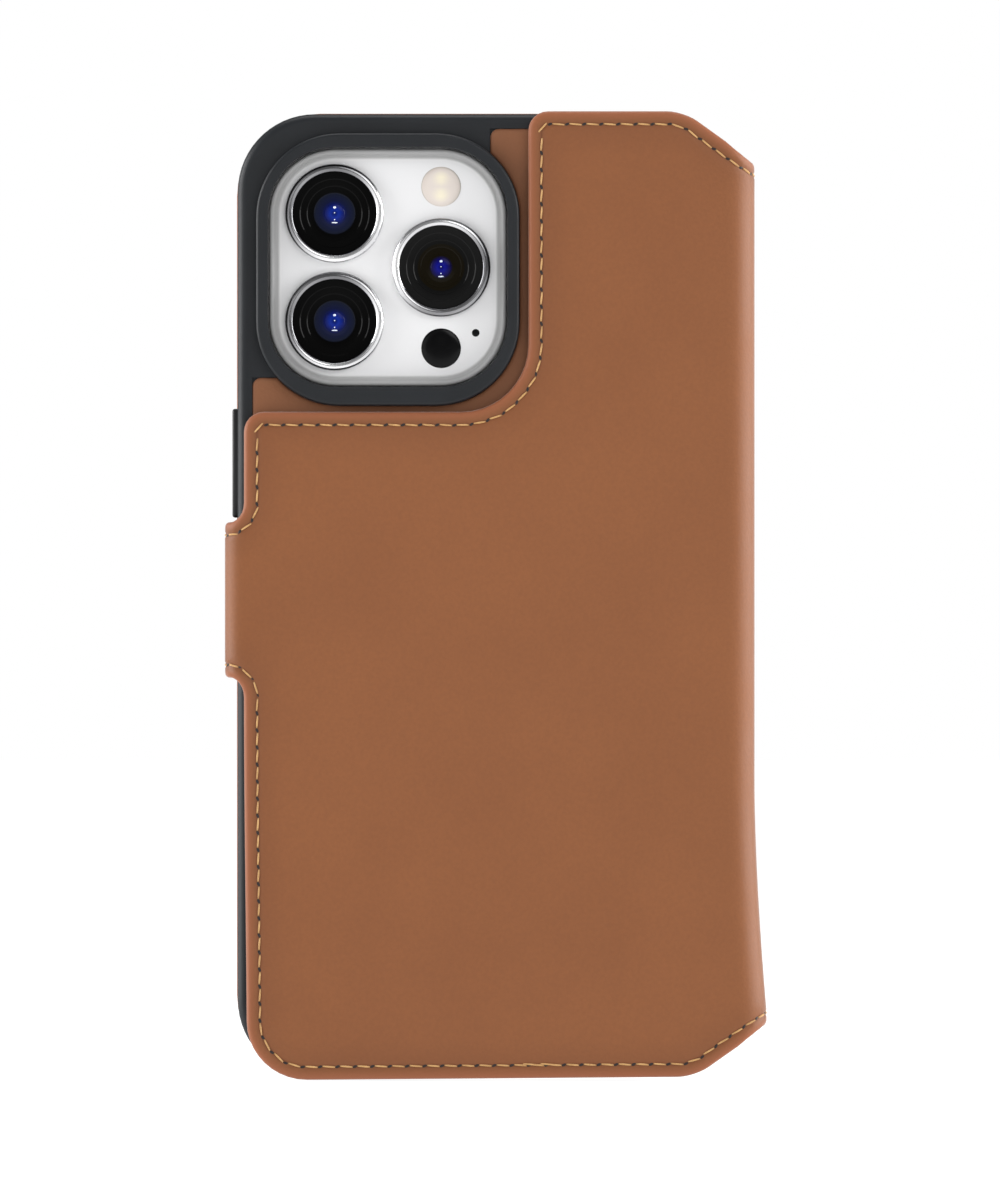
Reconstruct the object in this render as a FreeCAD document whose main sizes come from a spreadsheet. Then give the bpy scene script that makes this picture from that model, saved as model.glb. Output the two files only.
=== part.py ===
import FreeCAD, Part
import math
import os

import Sketcher

doc = FreeCAD.newDocument("PhoneWalletCase")

# Row frame: +X towards the spine, +Z up the phone, -Y out of the back.
# The origin is at the bottom centre of the closed case, which stands on its lower edges.

# ---------------------------------------------------------------- driving sizes, in mm

SIZES = [
    ("phone_wide", 71.5, "phone across its back"),
    ("phone_tall", 146.7, "phone from top to bottom"),
    ("phone_thick", 7.65, "phone without its camera"),
    ("phone_corner", 10.3, "corner radius of the phone in plan"),
    ("glass_thick", 0.65, "front and back glass"),
    ("glass_inset", 0.5, "metal rim left showing round the glass"),
    ("fit_gap", 0.1, "phone to shell, all round"),
    ("shell_wall", 1.65, "side wall of the shell"),
    ("shell_floor", 1.2, "back wall of the shell"),
    ("shell_lip", 1.0, "lip that stands above the screen"),
    ("lip_reach", 0.9, "how far the lip grips over the phone"),
    ("shell_round", 1.3, "rounding of the shell's rear edge"),
    ("lip_round", 0.5, "rounding of the shell's front lip"),
    ("microfibre", 0.3, "soft sheet that the phone lies on"),
    ("inlay_thick", 0.6, "leather let into the shell's back"),
    ("inlay_inset", 2.3, "shell rim left showing round the inlay"),
    ("inlay_gap", 0.05, "inlay and steel plate to the recesses that they are glued into"),
    ("plate_thick", 0.4, "steel plate that the magnets hold"),
    ("plate_wide", 56.0, "steel plate across"),
    ("plate_tall", 84.0, "steel plate from top to bottom"),
    ("plate_low", 12.0, "steel plate above the shell's lower end"),
    ("leather", 1.1, "outer leather"),
    ("lining", 0.4, "inner lining of the wallet"),
    ("back_board", 0.9, "stiffener of the back panel"),
    ("cover_board", 0.7, "stiffener of the spine and the front cover"),
    ("board_inset", 3.6, "leather and lining sewn together round a board"),
    ("lining_inset", 0.3, "lining short of the leather's edge"),
    ("pocket_leather", 0.6, "one layer of the pockets"),
    ("seat_gap", 0.25, "back panel to shell"),
    ("cover_gap", 0.3, "shell lip to pockets"),
    ("spine_gap", 3.4, "shell to the inside of the spine"),
    ("tab_gap", 0.5, "shell to the inside of the clasp tab"),
    ("tab_lift", 0.35, "front cover to the end of the clasp tab"),
    ("tab_backing", 0.8, "inner leather of the clasp tab's end"),
    ("panel_over", 0.4, "panels past the shell's upper and lower ends"),
    ("panel_corner", 10.0, "outer corners of the panels"),
    ("small_corner", 2.5, "tight corners either side of the camera notch"),
    ("waist_wide", 11.7, "slanted corner beside the spine, along X"),
    ("waist_drop", 8.4, "slanted corner beside the spine, along Z"),
    ("waist_round", 5.0, "rounding where the slant begins"),
    ("cover_overhang", 0.3, "front cover past the shell"),
    ("fold_bend", 4.5, "outside radius of the spine's two folds"),
    ("tab_bend", 3.0, "outside radius of the tab's two folds"),
    ("tab_tall", 24.3, "clasp tab from top to bottom"),
    ("tab_low", 62.7, "clasp tab above the lower edge"),
    ("tab_long", 24.0, "flat end of the tab, on the front cover"),
    ("tab_corner", 5.0, "corners of the tab's end"),
    ("window_wide", 37.4, "camera window, square"),
    ("window_corner", 10.5, "camera window's corners"),
    ("window_side", 4.7, "shell's edge to the window, along X"),
    ("window_top", 5.2, "shell's top to the window"),
    ("ring_beside", 1.8, "raised camera ring's wall beside the window"),
    ("ring_above", 2.15, "raised camera ring's wall above the window"),
    ("ring_below", 2.85, "raised camera ring's wall below the window"),
    ("ring_corner", 2.5, "ring's corner radius more than the window's"),
    ("ring_sink", 0.1, "ring's face below the leather's face"),
    ("ring_round", 0.5, "rounding of the ring's face"),
    ("notch_side", 1.4, "ring to the notch's upright edge"),
    ("notch_below", 1.0, "ring to the notch's lower edge"),
    ("notch_corner", 10.5, "inner corner of the notch"),
    ("tip_across", 4.6, "ring's right side back to the inlay's upper tip"),
    ("tip_up", 4.4, "ring's lower side up to the inlay's left tip"),
    ("plateau_gap", 0.2, "camera plateau to the window"),
    ("plateau_rise", 1.5, "camera plateau above the back glass"),
    ("plateau_round", 1.0, "rounding of the plateau's edge"),
    ("lens_out", 7.7, "lens ring's outside radius"),
    ("lens_in", 6.5, "lens ring's inside radius"),
    ("lens_rise", 1.4, "lens ring above the plateau"),
    ("lens_glass", 0.8, "lens glass above the plateau"),
    ("lens_side", 8.3, "lenses to the plateau's upright centre line"),
    ("lens_up", 8.4, "outer lenses to the plateau's level centre line"),
    ("dot_radius", 3.1, "flash and depth sensor"),
    ("dot_up", 12.6, "flash and depth sensor above or below the centre"),
    ("dot_rise", 0.15, "flash and depth sensor above the plateau"),
    ("hole_radius", 0.6, "microphone hole"),
    ("hole_side", 13.7, "microphone hole beside the centre"),
    ("hole_down", 10.2, "microphone hole below the centre"),
    ("key_wide", 2.6, "button caps across"),
    ("key_proud", 0.9, "button caps out of the shell's wall"),
    ("key_gap", 0.15, "button caps and keys to their holes"),
    ("key_travel", 0.25, "how far a button is pressed"),
    ("inner_key_wide", 2.0, "phone's own keys across"),
    ("inner_key_proud", 0.3, "phone's own keys out of its side"),
    ("inner_key_deep", 0.8, "phone's own keys inside its side"),
    ("inner_key_short", 1.0, "phone's own keys short of the caps, at each end"),
    ("power_long", 17.0, "power button"),
    ("power_over_tab", 0.7, "power button above the clasp tab"),
    ("volume_long", 10.5, "one volume button"),
    ("volume_drop", 49.55, "phone's top to the lower end of its volume up button"),
    ("volume_apart", 13.0, "one volume button to the other"),
    ("mute_long", 5.0, "ring switch"),
    ("mute_drop", 33.65, "phone's top to the lower end of its ring switch"),
    ("mute_thick", 1.6, "ring switch across"),
    ("mute_travel", 0.8, "how far the ring switch slides"),
    ("mute_margin", 1.6, "shell's cut-out round the ring switch"),
    ("strap_tall", 8.4, "strap slot in the shell's side"),
    ("strap_wide", 2.6, "strap slot across"),
    ("strap_centre", 20.2, "strap slot above the lower edge"),
    ("port_wide", 13.0, "cut-out for the charging plug"),
    ("port_thick", 6.4, "cut-out for the charging plug, front to back"),
    ("socket_wide", 9.0, "phone's charging socket"),
    ("socket_thick", 3.2, "phone's charging socket, front to back"),
    ("socket_deep", 6.0, "phone's charging socket"),
    ("grille_wide", 12.0, "cut-out for a speaker grille"),
    ("grille_thick", 2.4, "cut-out for a speaker grille, front to back"),
    ("grille_side", 17.5, "speaker grille to the charging socket"),
    ("magnet_radius", 6.0, "round magnets in the back panel"),
    ("magnet_side", 17.0, "magnets to the shell's centre line"),
    ("magnet_low", 26.0, "lower magnets above the lower edge"),
    ("magnet_rise", 50.0, "lower magnets to upper magnets"),
    ("set_gap", 0.05, "magnets, keeper plate and lens glasses to their holes"),
    ("clasp_wide", 14.0, "clasp magnet across"),
    ("clasp_tall", 12.0, "clasp magnet from top to bottom"),
    ("clasp_thick", 0.8, "clasp magnet"),
    ("clasp_side", 5.0, "clasp magnet to the tab's fold"),
    ("keeper_margin", 1.0, "keeper plate past the clasp magnet, all round"),
    ("pocket_inset", 3.0, "pockets inside the cover's edge"),
    ("note_mouth", 8.0, "note pocket's upper edge below the panel's"),
    ("card_mouth", 25.0, "upper card pocket's mouth below the panel's edge"),
    ("card_step", 17.0, "one card pocket's mouth to the next"),
    ("pocket_round", 1.0, "corners of a pocket's mouth"),
    ("thumb_radius", 8.0, "thumb scoop in a card pocket's mouth"),
    ("thumb_sink", 4.5, "thumb scoop's centre above the mouth"),
    ("seam_inset", 1.6, "stitching in from the edge"),
    ("thread_wide", 0.5, "stitching across"),
    ("thread_deep", 0.2, "channel that the stitching lies in, level with the leather"),
]

sheet = doc.addObject("Spreadsheet::Sheet", "Sizes")
for row, (alias, value, note) in enumerate(SIZES, start=1):
    sheet.set(f"A{row}", alias)
    sheet.set(f"B{row}", str(value))
    sheet.set(f"C{row}", note)
    sheet.setAlias(f"B{row}", alias)
doc.recompute()

# ---------------------------------------------------------------- places worked out from the sizes

PLACES = [
    ("shell_wide", "Sizes.phone_wide + 2 * (Sizes.fit_gap + Sizes.shell_wall)"),
    ("shell_tall", "Sizes.phone_tall + 2 * (Sizes.fit_gap + Sizes.shell_wall)"),
    ("shell_corner", "Sizes.phone_corner + Sizes.fit_gap + Sizes.shell_wall"),
    ("shell_under", "Sizes.inlay_thick + Sizes.plate_thick + Sizes.shell_floor"),
    ("shell_depth", "Places.shell_under + Sizes.microfibre + Sizes.phone_thick + Sizes.shell_lip"),
    ("back_thick", "Sizes.leather + Sizes.back_board + Sizes.lining"),
    ("cover_thick", "Sizes.leather + Sizes.cover_board + Sizes.lining + 4 * Sizes.pocket_leather"),
    ("case_depth", "Places.back_thick + Sizes.seat_gap + Places.shell_depth + Sizes.cover_gap"
                   " + Places.cover_thick"),
    ("tab_thick", "Sizes.leather + Sizes.tab_backing"),
    ("whole_depth", "Places.case_depth + Sizes.tab_lift + Places.tab_thick"),
    # front to back, from the back leather's outer face
    ("back_y", "-Places.whole_depth / 2"),
    ("shell_y", "Places.back_y + Places.back_thick + Sizes.seat_gap"),
    ("floor_y", "Places.shell_y + Places.shell_under"),
    ("phone_y", "Places.floor_y + Sizes.microfibre"),
    ("phone_mid_y", "Places.phone_y + Sizes.phone_thick / 2"),
    ("plateau_y", "Places.phone_y - Sizes.plateau_rise"),
    ("cover_y", "Places.shell_y + Places.shell_depth + Sizes.cover_gap"),
    ("front_y", "Places.back_y + Places.case_depth"),
    ("tab_y", "Places.front_y + Sizes.tab_lift"),
    ("tab_end_y", "Places.tab_y + Places.tab_thick"),
    # side to side
    ("tab_reach", "Sizes.tab_gap + Sizes.lining + Sizes.leather"),
    ("spine_reach", "Sizes.spine_gap + Sizes.lining + Sizes.cover_board + Sizes.leather"),
    ("whole_wide", "Places.tab_reach + Places.shell_wide + Places.spine_reach"),
    ("tab_x", "-Places.whole_wide / 2"),
    ("spine_x", "Places.whole_wide / 2"),
    ("shell_left", "Places.tab_x + Places.tab_reach"),
    ("shell_right", "Places.shell_left + Places.shell_wide"),
    ("shell_mid_x", "(Places.shell_left + Places.shell_right) / 2"),
    ("phone_left", "Places.shell_left + Sizes.shell_wall + Sizes.fit_gap"),
    ("phone_right", "Places.phone_left + Sizes.phone_wide"),
    ("panel_left", "Places.tab_x + Sizes.tab_bend"),
    ("cover_left", "Places.shell_left - Sizes.cover_overhang"),
    ("fold_x", "Places.spine_x - Sizes.fold_bend"),
    ("waist_x", "Places.spine_x - Sizes.waist_wide"),
    # up and down
    ("panel_tall", "Places.shell_tall + 2 * Sizes.panel_over"),
    ("shell_low", "Sizes.panel_over"),
    ("shell_high", "Places.shell_low + Places.shell_tall"),
    ("phone_low", "Places.shell_low + Sizes.shell_wall + Sizes.fit_gap"),
    ("phone_high", "Places.phone_low + Sizes.phone_tall"),
    ("tab_high", "Sizes.tab_low + Sizes.tab_tall"),
    ("power_low", "Places.tab_high + Sizes.power_over_tab"),
    ("volume_up_low", "Places.phone_high - Sizes.volume_drop"),
    ("volume_down_low", "Places.volume_up_low - Sizes.volume_apart"),
    ("mute_low", "Places.phone_high - Sizes.mute_drop"),
    # the slanted corners beside the spine
    ("waist_slope", "Sizes.waist_drop / Sizes.waist_wide"),
    ("waist_stretch", "sqrt(1 + Places.waist_slope ^ 2)"),
    ("waist_turn", "(Places.waist_stretch - 1) / Places.waist_slope"),
    # the camera
    ("window_x", "Places.shell_left + Sizes.window_side + Sizes.window_wide / 2"),
    ("window_z", "Places.shell_high - Sizes.window_top - Sizes.window_wide / 2"),
    ("ring_wide", "Sizes.window_wide + 2 * Sizes.ring_beside"),
    ("ring_tall", "Sizes.window_wide + Sizes.ring_above + Sizes.ring_below"),
    ("ring_corner", "Sizes.window_corner + Sizes.ring_corner"),
    ("ring_z", "Places.window_z + (Sizes.ring_above - Sizes.ring_below) / 2"),
    ("ring_right", "Places.window_x + Places.ring_wide / 2"),
    ("ring_low", "Places.ring_z - Places.ring_tall / 2"),
    ("ring_rise", "Places.shell_y - Places.back_y - Sizes.ring_sink"),
    ("notch_x", "Places.ring_right + Sizes.notch_side"),
    ("notch_z", "Places.ring_low - Sizes.notch_below"),
    ("plateau_wide", "Sizes.window_wide - 2 * Sizes.plateau_gap"),
    # the clasp
    ("tab_fold_x", "Places.tab_x + Sizes.tab_bend"),
    ("tab_mid_z", "Sizes.tab_low + Sizes.tab_tall / 2"),
    ("clasp_left", "Places.tab_fold_x + Sizes.clasp_side"),
]

places = doc.addObject("App::VarSet", "Places")
for name, expression in PLACES:
    places.addProperty("App::PropertyFloat", name, "Places")
    places.setExpression(name, expression)
doc.recompute()


# ---------------------------------------------------------------- tools for building

def sketch_outline(body, name, corners):
    """A closed outline on the body's XZ plane through corners, each (x, z, fillet radius or None)."""
    sketch = body.newObject("Sketcher::SketchObject", name)
    plane = next(item for item in body.Origin.OriginFeatures if item.Role == "XZ_Plane")
    sketch.AttachmentSupport = [(plane, "")]
    sketch.MapMode = "FlatFace"
    count = len(corners)
    turn = 2 * math.pi / count
    guess = [FreeCAD.Vector(math.cos(i * turn), math.sin(i * turn), 0) * 50 for i in range(count)]
    for i in range(count):
        sketch.addGeometry(Part.LineSegment(guess[i], guess[(i + 1) % count]), False)
    for i in range(count):
        sketch.addConstraint(Sketcher.Constraint("Coincident", i, 2, (i + 1) % count, 1))
    for i, (x, z, _) in enumerate(corners):
        for kind, start, expression in (("DistanceX", guess[i].x, x), ("DistanceY", guess[i].y, z)):
            index = sketch.addConstraint(Sketcher.Constraint(kind, -1, 1, i, 1, start))
            sketch.setExpression(f"Constraints[{index}]", expression)
    return sketch


def upright_edges(shape, points):
    """Names of the shape's edges that run along Y through the sketch points."""
    names = []
    for number, edge in enumerate(shape.Edges, start=1):
        a, b = edge.Vertexes[0].Point, edge.Vertexes[-1].Point
        if abs(a.x - b.x) < 1e-6 and abs(a.z - b.z) < 1e-6 and abs(a.y - b.y) > 1e-6:
            if any(abs(a.x - p.x) < 1e-4 and abs(a.z - p.y) < 1e-4 for p in points):
                names.append(f"Edge{number}")
    return names


def rim_edges(shape, y):
    """Names of the shape's edges that lie in the plane at y."""
    return [
        f"Edge{number}"
        for number, edge in enumerate(shape.Edges, start=1)
        if abs(edge.BoundBox.YMin - y) < 1e-5 and abs(edge.BoundBox.YMax - y) < 1e-5
    ]


def plate(label, corners, y, thickness, soft_back=None, soft_front=None):
    """A flat plate from y towards +Y, with filleted corners and, where asked, softened faces."""
    body = doc.addObject("PartDesign::Body", label)
    body.Label = label
    body.setExpression("Placement.Base.y", y)
    sketch = sketch_outline(body, f"{label}_outline", corners)
    pad = body.newObject("PartDesign::Pad", f"{label}_pad")
    pad.Profile = sketch
    pad.Reversed = True
    pad.setExpression("Length", thickness)
    doc.recompute()
    points = [line.StartPoint for line in sketch.Geometry]
    last = pad
    for radius in sorted({corner[2] for corner in corners if corner[2]}):
        chosen = [point for point, corner in zip(points, corners) if corner[2] == radius]
        last = add_fillet(body, last, upright_edges(last.Shape, chosen), radius)
    if soft_back:
        last = add_fillet(body, last, rim_edges(last.Shape, 0.0), soft_back)
    if soft_front:
        last = add_fillet(body, last, rim_edges(last.Shape, pad.Length.Value), soft_front)
    return body


def add_fillet(body, base, edges, radius):
    """A fillet of the named edges, whose radius follows the expression."""
    fillet = body.newObject("PartDesign::Fillet", f"{body.Label}_fillet")
    fillet.Base = (base, edges)
    fillet.setExpression("Radius", radius)
    doc.recompute()
    return fillet


def box(label, low, size):
    """A box from its lowest corner, both as three expressions."""
    solid = doc.addObject("Part::Box", label)
    solid.Label = label
    for axis, expression in zip("xyz", low):
        solid.setExpression(f"Placement.Base.{axis}", expression)
    for edge, expression in zip(("Length", "Width", "Height"), size):
        solid.setExpression(edge, expression)
    return solid


def disc(label, x, y, z, radius, thickness):
    """A disc from y towards +Y."""
    solid = doc.addObject("Part::Cylinder", label)
    solid.Label = label
    solid.Placement.Rotation = FreeCAD.Rotation(FreeCAD.Vector(1, 0, 0), -90)
    for axis, expression in zip("xyz", (x, y, z)):
        solid.setExpression(f"Placement.Base.{axis}", expression)
    solid.setExpression("Radius", radius)
    solid.setExpression("Height", thickness)
    return solid


def quarter(label, centre, turn, radius, low, height):
    """A quarter cylinder along Z about centre, an (x, y) pair, starting turn degrees from +X."""
    solid = doc.addObject("Part::Cylinder", label)
    solid.Label = label
    solid.Placement.Rotation = FreeCAD.Rotation(FreeCAD.Vector(0, 0, 1), turn)
    for axis, expression in zip("xyz", (*centre, low)):
        solid.setExpression(f"Placement.Base.{axis}", expression)
    solid.setExpression("Radius", radius)
    solid.setExpression("Height", height)
    solid.Angle = 90
    return solid


def group(label, solids):
    """Several separate solids as one."""
    union = doc.addObject("Part::MultiFuse", label)
    union.Label = label
    union.Shapes = solids
    return union


def cut(label, base, tools):
    """Base with every tool taken out of it."""
    result = doc.addObject("Part::Cut", label)
    result.Label = label
    result.Base = base
    result.Tool = tools[0] if len(tools) == 1 else group(f"{label}_cuts", tools)
    return result


def common(label, base, tool):
    """What base and tool share."""
    result = doc.addObject("Part::Common", label)
    result.Label = label
    result.Base = base
    result.Tool = tool
    return result


def rounded(left, right, low, high, radius):
    """The corners of a rectangle with equal fillets."""
    return [(left, low, radius), (right, low, radius), (right, high, radius), (left, high, radius)]


def square_on(x, z, wide, tall, radius):
    """The corners of a filleted rectangle round a centre."""
    return rounded(f"{x} - {wide} / 2", f"{x} + {wide} / 2", f"{z} - {tall} / 2", f"{z} + {tall} / 2",
                   radius)


def waist_corners(inset, right):
    """The slanted lower and upper corners beside the spine, set in from the edge."""
    start = f"Places.waist_x - ({inset}) * Places.waist_turn"
    rise = f"({right} - Places.waist_x) * Places.waist_slope + ({inset}) * Places.waist_stretch"
    return [
        (start, f"{inset}", "Sizes.waist_round"),
        (right, rise, None),
        (right, f"Places.panel_tall - ({rise})", None),
        (start, f"Places.panel_tall - ({inset})", "Sizes.waist_round"),
    ]


def back_corners(inset, right):
    """The back panel's outline, with the notch that clears the camera ring."""
    left = f"Places.panel_left + ({inset})"
    notch_x = f"Places.notch_x + ({inset})"
    notch_z = f"Places.notch_z - ({inset})"
    tight = "Sizes.small_corner"
    return [
        (left, f"{inset}", f"Sizes.panel_corner - ({inset})"),
        *waist_corners(inset, right),
        (notch_x, f"Places.panel_tall - ({inset})", tight),
        (notch_x, notch_z, f"Sizes.notch_corner + ({inset})"),
        (left, notch_z, tight),
    ]


def front_corners(inset, right):
    """The front cover's outline."""
    left = f"Places.cover_left + ({inset})"
    round_corner = f"Sizes.panel_corner - ({inset})"
    return [
        (left, f"{inset}", round_corner),
        *waist_corners(inset, right),
        (left, f"Places.panel_tall - ({inset})", round_corner),
    ]


# ---------------------------------------------------------------- back panel

NO_INSET = "0"
LINER_END = "(Places.fold_x - Sizes.lining_inset)"

back_hide = plate("back_hide", back_corners(NO_INSET, "Places.fold_x"), "Places.back_y",
                  "Sizes.leather")
back_board_y = "Places.back_y + Sizes.leather"
back_blank = plate("back_board_blank", back_corners("Sizes.board_inset", LINER_END), back_board_y,
                   "Sizes.back_board")
back_lining = plate("back_lining", back_corners("Sizes.lining_inset", LINER_END),
                    f"{back_board_y} + Sizes.back_board", "Sizes.lining")

magnets = []
magnet_holes = []
for side in (-1, 1):
    for level in (0, 1):
        x = f"Places.shell_mid_x + {side} * Sizes.magnet_side"
        z = f"Sizes.magnet_low + {level} * Sizes.magnet_rise"
        name = f"{'left' if side < 0 else 'right'}_{'upper' if level else 'lower'}"
        magnets.append(disc(f"magnet_{name}", x, back_board_y, z, "Sizes.magnet_radius",
                            "Sizes.back_board"))
        magnet_holes.append(disc(f"magnet_hole_{name}", x, back_board_y, z,
                                 "Sizes.magnet_radius + Sizes.set_gap", "Sizes.back_board"))
back_magnets = group("back_magnets", magnets)
back_board = cut("back_board", back_blank, magnet_holes)

# ---------------------------------------------------------------- spine, its two folds and its parts

SPINE_LOW = "Sizes.waist_drop"
SPINE_TALL = "Places.panel_tall - 2 * Sizes.waist_drop"
SPINE_START = "Places.back_y + Sizes.fold_bend"
SPINE_LONG = "Places.case_depth - 2 * Sizes.fold_bend"


def spine_layer(label, depth, thickness, margin):
    """One flat layer of the spine, depth in from its outer face and margin in from its edges."""
    return box(
        label,
        (f"Places.spine_x - ({depth}) - {thickness}", f"{SPINE_START} + {margin}",
         f"{SPINE_LOW} + {margin}"),
        (thickness, f"{SPINE_LONG} - 2 * {margin}", f"{SPINE_TALL} - 2 * {margin}"),
    )


spine_hide = spine_layer("spine_hide", "0", "Sizes.leather", "0")
spine_board = spine_layer("spine_board", "Sizes.leather", "Sizes.cover_board", "Sizes.lining_inset")
spine_lining = spine_layer("spine_lining", "Sizes.leather + Sizes.cover_board", "Sizes.lining",
                           "Sizes.lining_inset")

waist_block = plate(
    "waist_block",
    [
        ("Places.waist_x", "0", None),
        ("Places.spine_x", "Sizes.waist_drop", None),
        ("Places.spine_x", "Places.panel_tall - Sizes.waist_drop", None),
        ("Places.waist_x", "Places.panel_tall", None),
    ],
    "Places.back_y",
    "Places.whole_depth",
)


def bent_layer(label, centre, turn, outside, thickness, low, height):
    """A quarter turn of one sheet round a fold's centre."""
    whole = quarter(f"{label}_outer", centre, turn, outside, low, height)
    inner = quarter(f"{label}_inner", centre, turn, f"{outside} - {thickness}", low, height)
    return cut(label, whole, [inner])


def spine_fold(name, centre, turn):
    """The leather and the lining of one spine fold, slanted at their ends."""
    outside = "Sizes.fold_bend"
    leather = bent_layer(f"{name}_leather_blank", centre, turn, outside, "Sizes.leather", "0",
                         "Places.panel_tall")
    inside = f"({outside} - Sizes.leather)"
    lining = bent_layer(f"{name}_lining_blank", centre, turn, inside, "Sizes.lining", "0",
                        "Places.panel_tall")
    return (common(f"{name}_leather", leather, waist_block),
            common(f"{name}_lining", lining, waist_block))


rear_fold = spine_fold("rear_fold", ("Places.fold_x", "Places.back_y + Sizes.fold_bend"), -90)
front_fold = spine_fold("front_fold", ("Places.fold_x", "Places.front_y - Sizes.fold_bend"), 0)

# ---------------------------------------------------------------- front cover

front_hide = plate("front_hide", front_corners(NO_INSET, "Places.fold_x"),
                   "Places.front_y - Sizes.leather", "Sizes.leather")
front_board_y = "Places.front_y - Sizes.leather - Sizes.cover_board"
front_blank = plate("front_board_blank", front_corners("Sizes.board_inset", LINER_END),
                    front_board_y, "Sizes.cover_board")
keeper_wide = "(Sizes.clasp_wide + 2 * Sizes.keeper_margin)"
keeper_tall = "(Sizes.clasp_tall + 2 * Sizes.keeper_margin)"


def keeper_plate(label, gap):
    """The steel plate that the clasp magnet meets, or the hole for it."""
    return box(
        label,
        (f"Places.clasp_left - Sizes.keeper_margin - {gap}", front_board_y,
         f"Places.tab_mid_z - {keeper_tall} / 2 - {gap}"),
        (f"{keeper_wide} + 2 * {gap}", "Sizes.cover_board", f"{keeper_tall} + 2 * {gap}"),
    )


clasp_keeper = keeper_plate("clasp_keeper", "0")
front_board = cut("front_board", front_blank, [keeper_plate("keeper_hole", "Sizes.set_gap")])
front_lining_y = f"{front_board_y} - Sizes.lining"
front_lining = plate("front_lining", front_corners("Sizes.lining_inset", LINER_END), front_lining_y,
                     "Sizes.lining")


def pocket_layer(label, layer, mouth):
    """One layer of the pockets, counted from the lining inwards, up to the height of its mouth."""
    left = "Places.cover_left + Sizes.pocket_inset"
    right = "Places.fold_x - Sizes.pocket_inset"
    low = "Sizes.pocket_inset"
    lower_corner = "Sizes.panel_corner - Sizes.pocket_inset"
    slant = ("(Places.fold_x - Sizes.pocket_inset - Places.waist_x) * Places.waist_slope"
             " + Sizes.pocket_inset * Places.waist_stretch")
    corners = [
        (left, low, lower_corner),
        ("Places.waist_x - Sizes.pocket_inset * Places.waist_turn", low, "Sizes.waist_round"),
        (right, slant, None),
        (right, mouth, "Sizes.pocket_round"),
        (left, mouth, "Sizes.pocket_round"),
    ]
    return plate(label, corners, f"{front_lining_y} - {layer} * Sizes.pocket_leather",
                 "Sizes.pocket_leather")


note_pocket = pocket_layer("note_pocket", 1, "Places.panel_tall - Sizes.note_mouth")
card_pockets = []
for layer, name in enumerate(("upper", "middle", "lower")):
    mouth = f"Places.panel_tall - Sizes.card_mouth - {layer} * Sizes.card_step"
    blank = pocket_layer(f"card_pocket_{name}_blank", layer + 2, mouth)
    scoop = disc(f"thumb_scoop_{name}", "(Places.cover_left + Places.fold_x) / 2", "Places.cover_y",
                 f"{mouth} + Sizes.thumb_sink", "Sizes.thumb_radius", "4 * Sizes.pocket_leather")
    card_pockets.append(cut(f"card_pocket_{name}", blank, [scoop]))

# ---------------------------------------------------------------- clasp tab

TAB_SIDE_LONG = "Places.whole_depth - 2 * Sizes.tab_bend"
TAB_SIDE_START = "Places.back_y + Sizes.tab_bend"

tab_side_hide = box("tab_side_hide", ("Places.tab_x", TAB_SIDE_START, "Sizes.tab_low"),
                    ("Sizes.leather", TAB_SIDE_LONG, "Sizes.tab_tall"))
tab_side_lining = box("tab_side_lining",
                      ("Places.tab_x + Sizes.leather", TAB_SIDE_START, "Sizes.tab_low"),
                      ("Sizes.lining", TAB_SIDE_LONG, "Sizes.tab_tall"))


def tab_fold(name, centre, turn):
    """The leather and the lining of one of the tab's folds."""
    leather = bent_layer(f"{name}_leather", centre, turn, "Sizes.tab_bend", "Sizes.leather",
                         "Sizes.tab_low", "Sizes.tab_tall")
    lining = bent_layer(f"{name}_lining", centre, turn, "(Sizes.tab_bend - Sizes.leather)",
                        "Sizes.lining", "Sizes.tab_low", "Sizes.tab_tall")
    return leather, lining


tab_root = tab_fold("tab_root", ("Places.tab_fold_x", "Places.back_y + Sizes.tab_bend"), 180)
tab_tip = tab_fold("tab_tip", ("Places.tab_fold_x", "Places.tab_end_y - Sizes.tab_bend"), 90)

tab_end_corners = [
    ("Places.tab_fold_x", "Sizes.tab_low", None),
    ("Places.tab_fold_x + Sizes.tab_long", "Sizes.tab_low", "Sizes.tab_corner"),
    ("Places.tab_fold_x + Sizes.tab_long", "Places.tab_high", "Sizes.tab_corner"),
    ("Places.tab_fold_x", "Places.tab_high", None),
]
tab_end_hide = plate("tab_end_hide", tab_end_corners, "Places.tab_end_y - Sizes.leather",
                     "Sizes.leather")
tab_inner_blank = plate("tab_end_backing_blank", tab_end_corners, "Places.tab_y",
                        "Sizes.tab_backing")


def clasp_block(label, gap):
    """The clasp magnet, half in each leather of the tab's end, or the hollow for it."""
    return box(
        label,
        (f"Places.clasp_left - {gap}",
         f"Places.tab_y + Sizes.tab_backing - Sizes.clasp_thick / 2",
         f"Places.tab_mid_z - Sizes.clasp_tall / 2 - {gap}"),
        (f"Sizes.clasp_wide + 2 * {gap}", "Sizes.clasp_thick", f"Sizes.clasp_tall + 2 * {gap}"),
    )


clasp_magnet = clasp_block("clasp_magnet", "0")
tab_end_backing = cut("tab_end_backing", tab_inner_blank,
                      [clasp_block("clasp_hollow_inner", "Sizes.set_gap")])

# ---------------------------------------------------------------- phone shell

SHELL = rounded("Places.shell_left", "Places.shell_right", "Places.shell_low", "Places.shell_high",
                "Places.shell_corner")


def phone_outline(grow, radius):
    """The phone's outline, grown on all sides."""
    return rounded(f"Places.phone_left - ({grow})", f"Places.phone_right + ({grow})",
                   f"Places.phone_low - ({grow})", f"Places.phone_high + ({grow})", radius)


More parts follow.
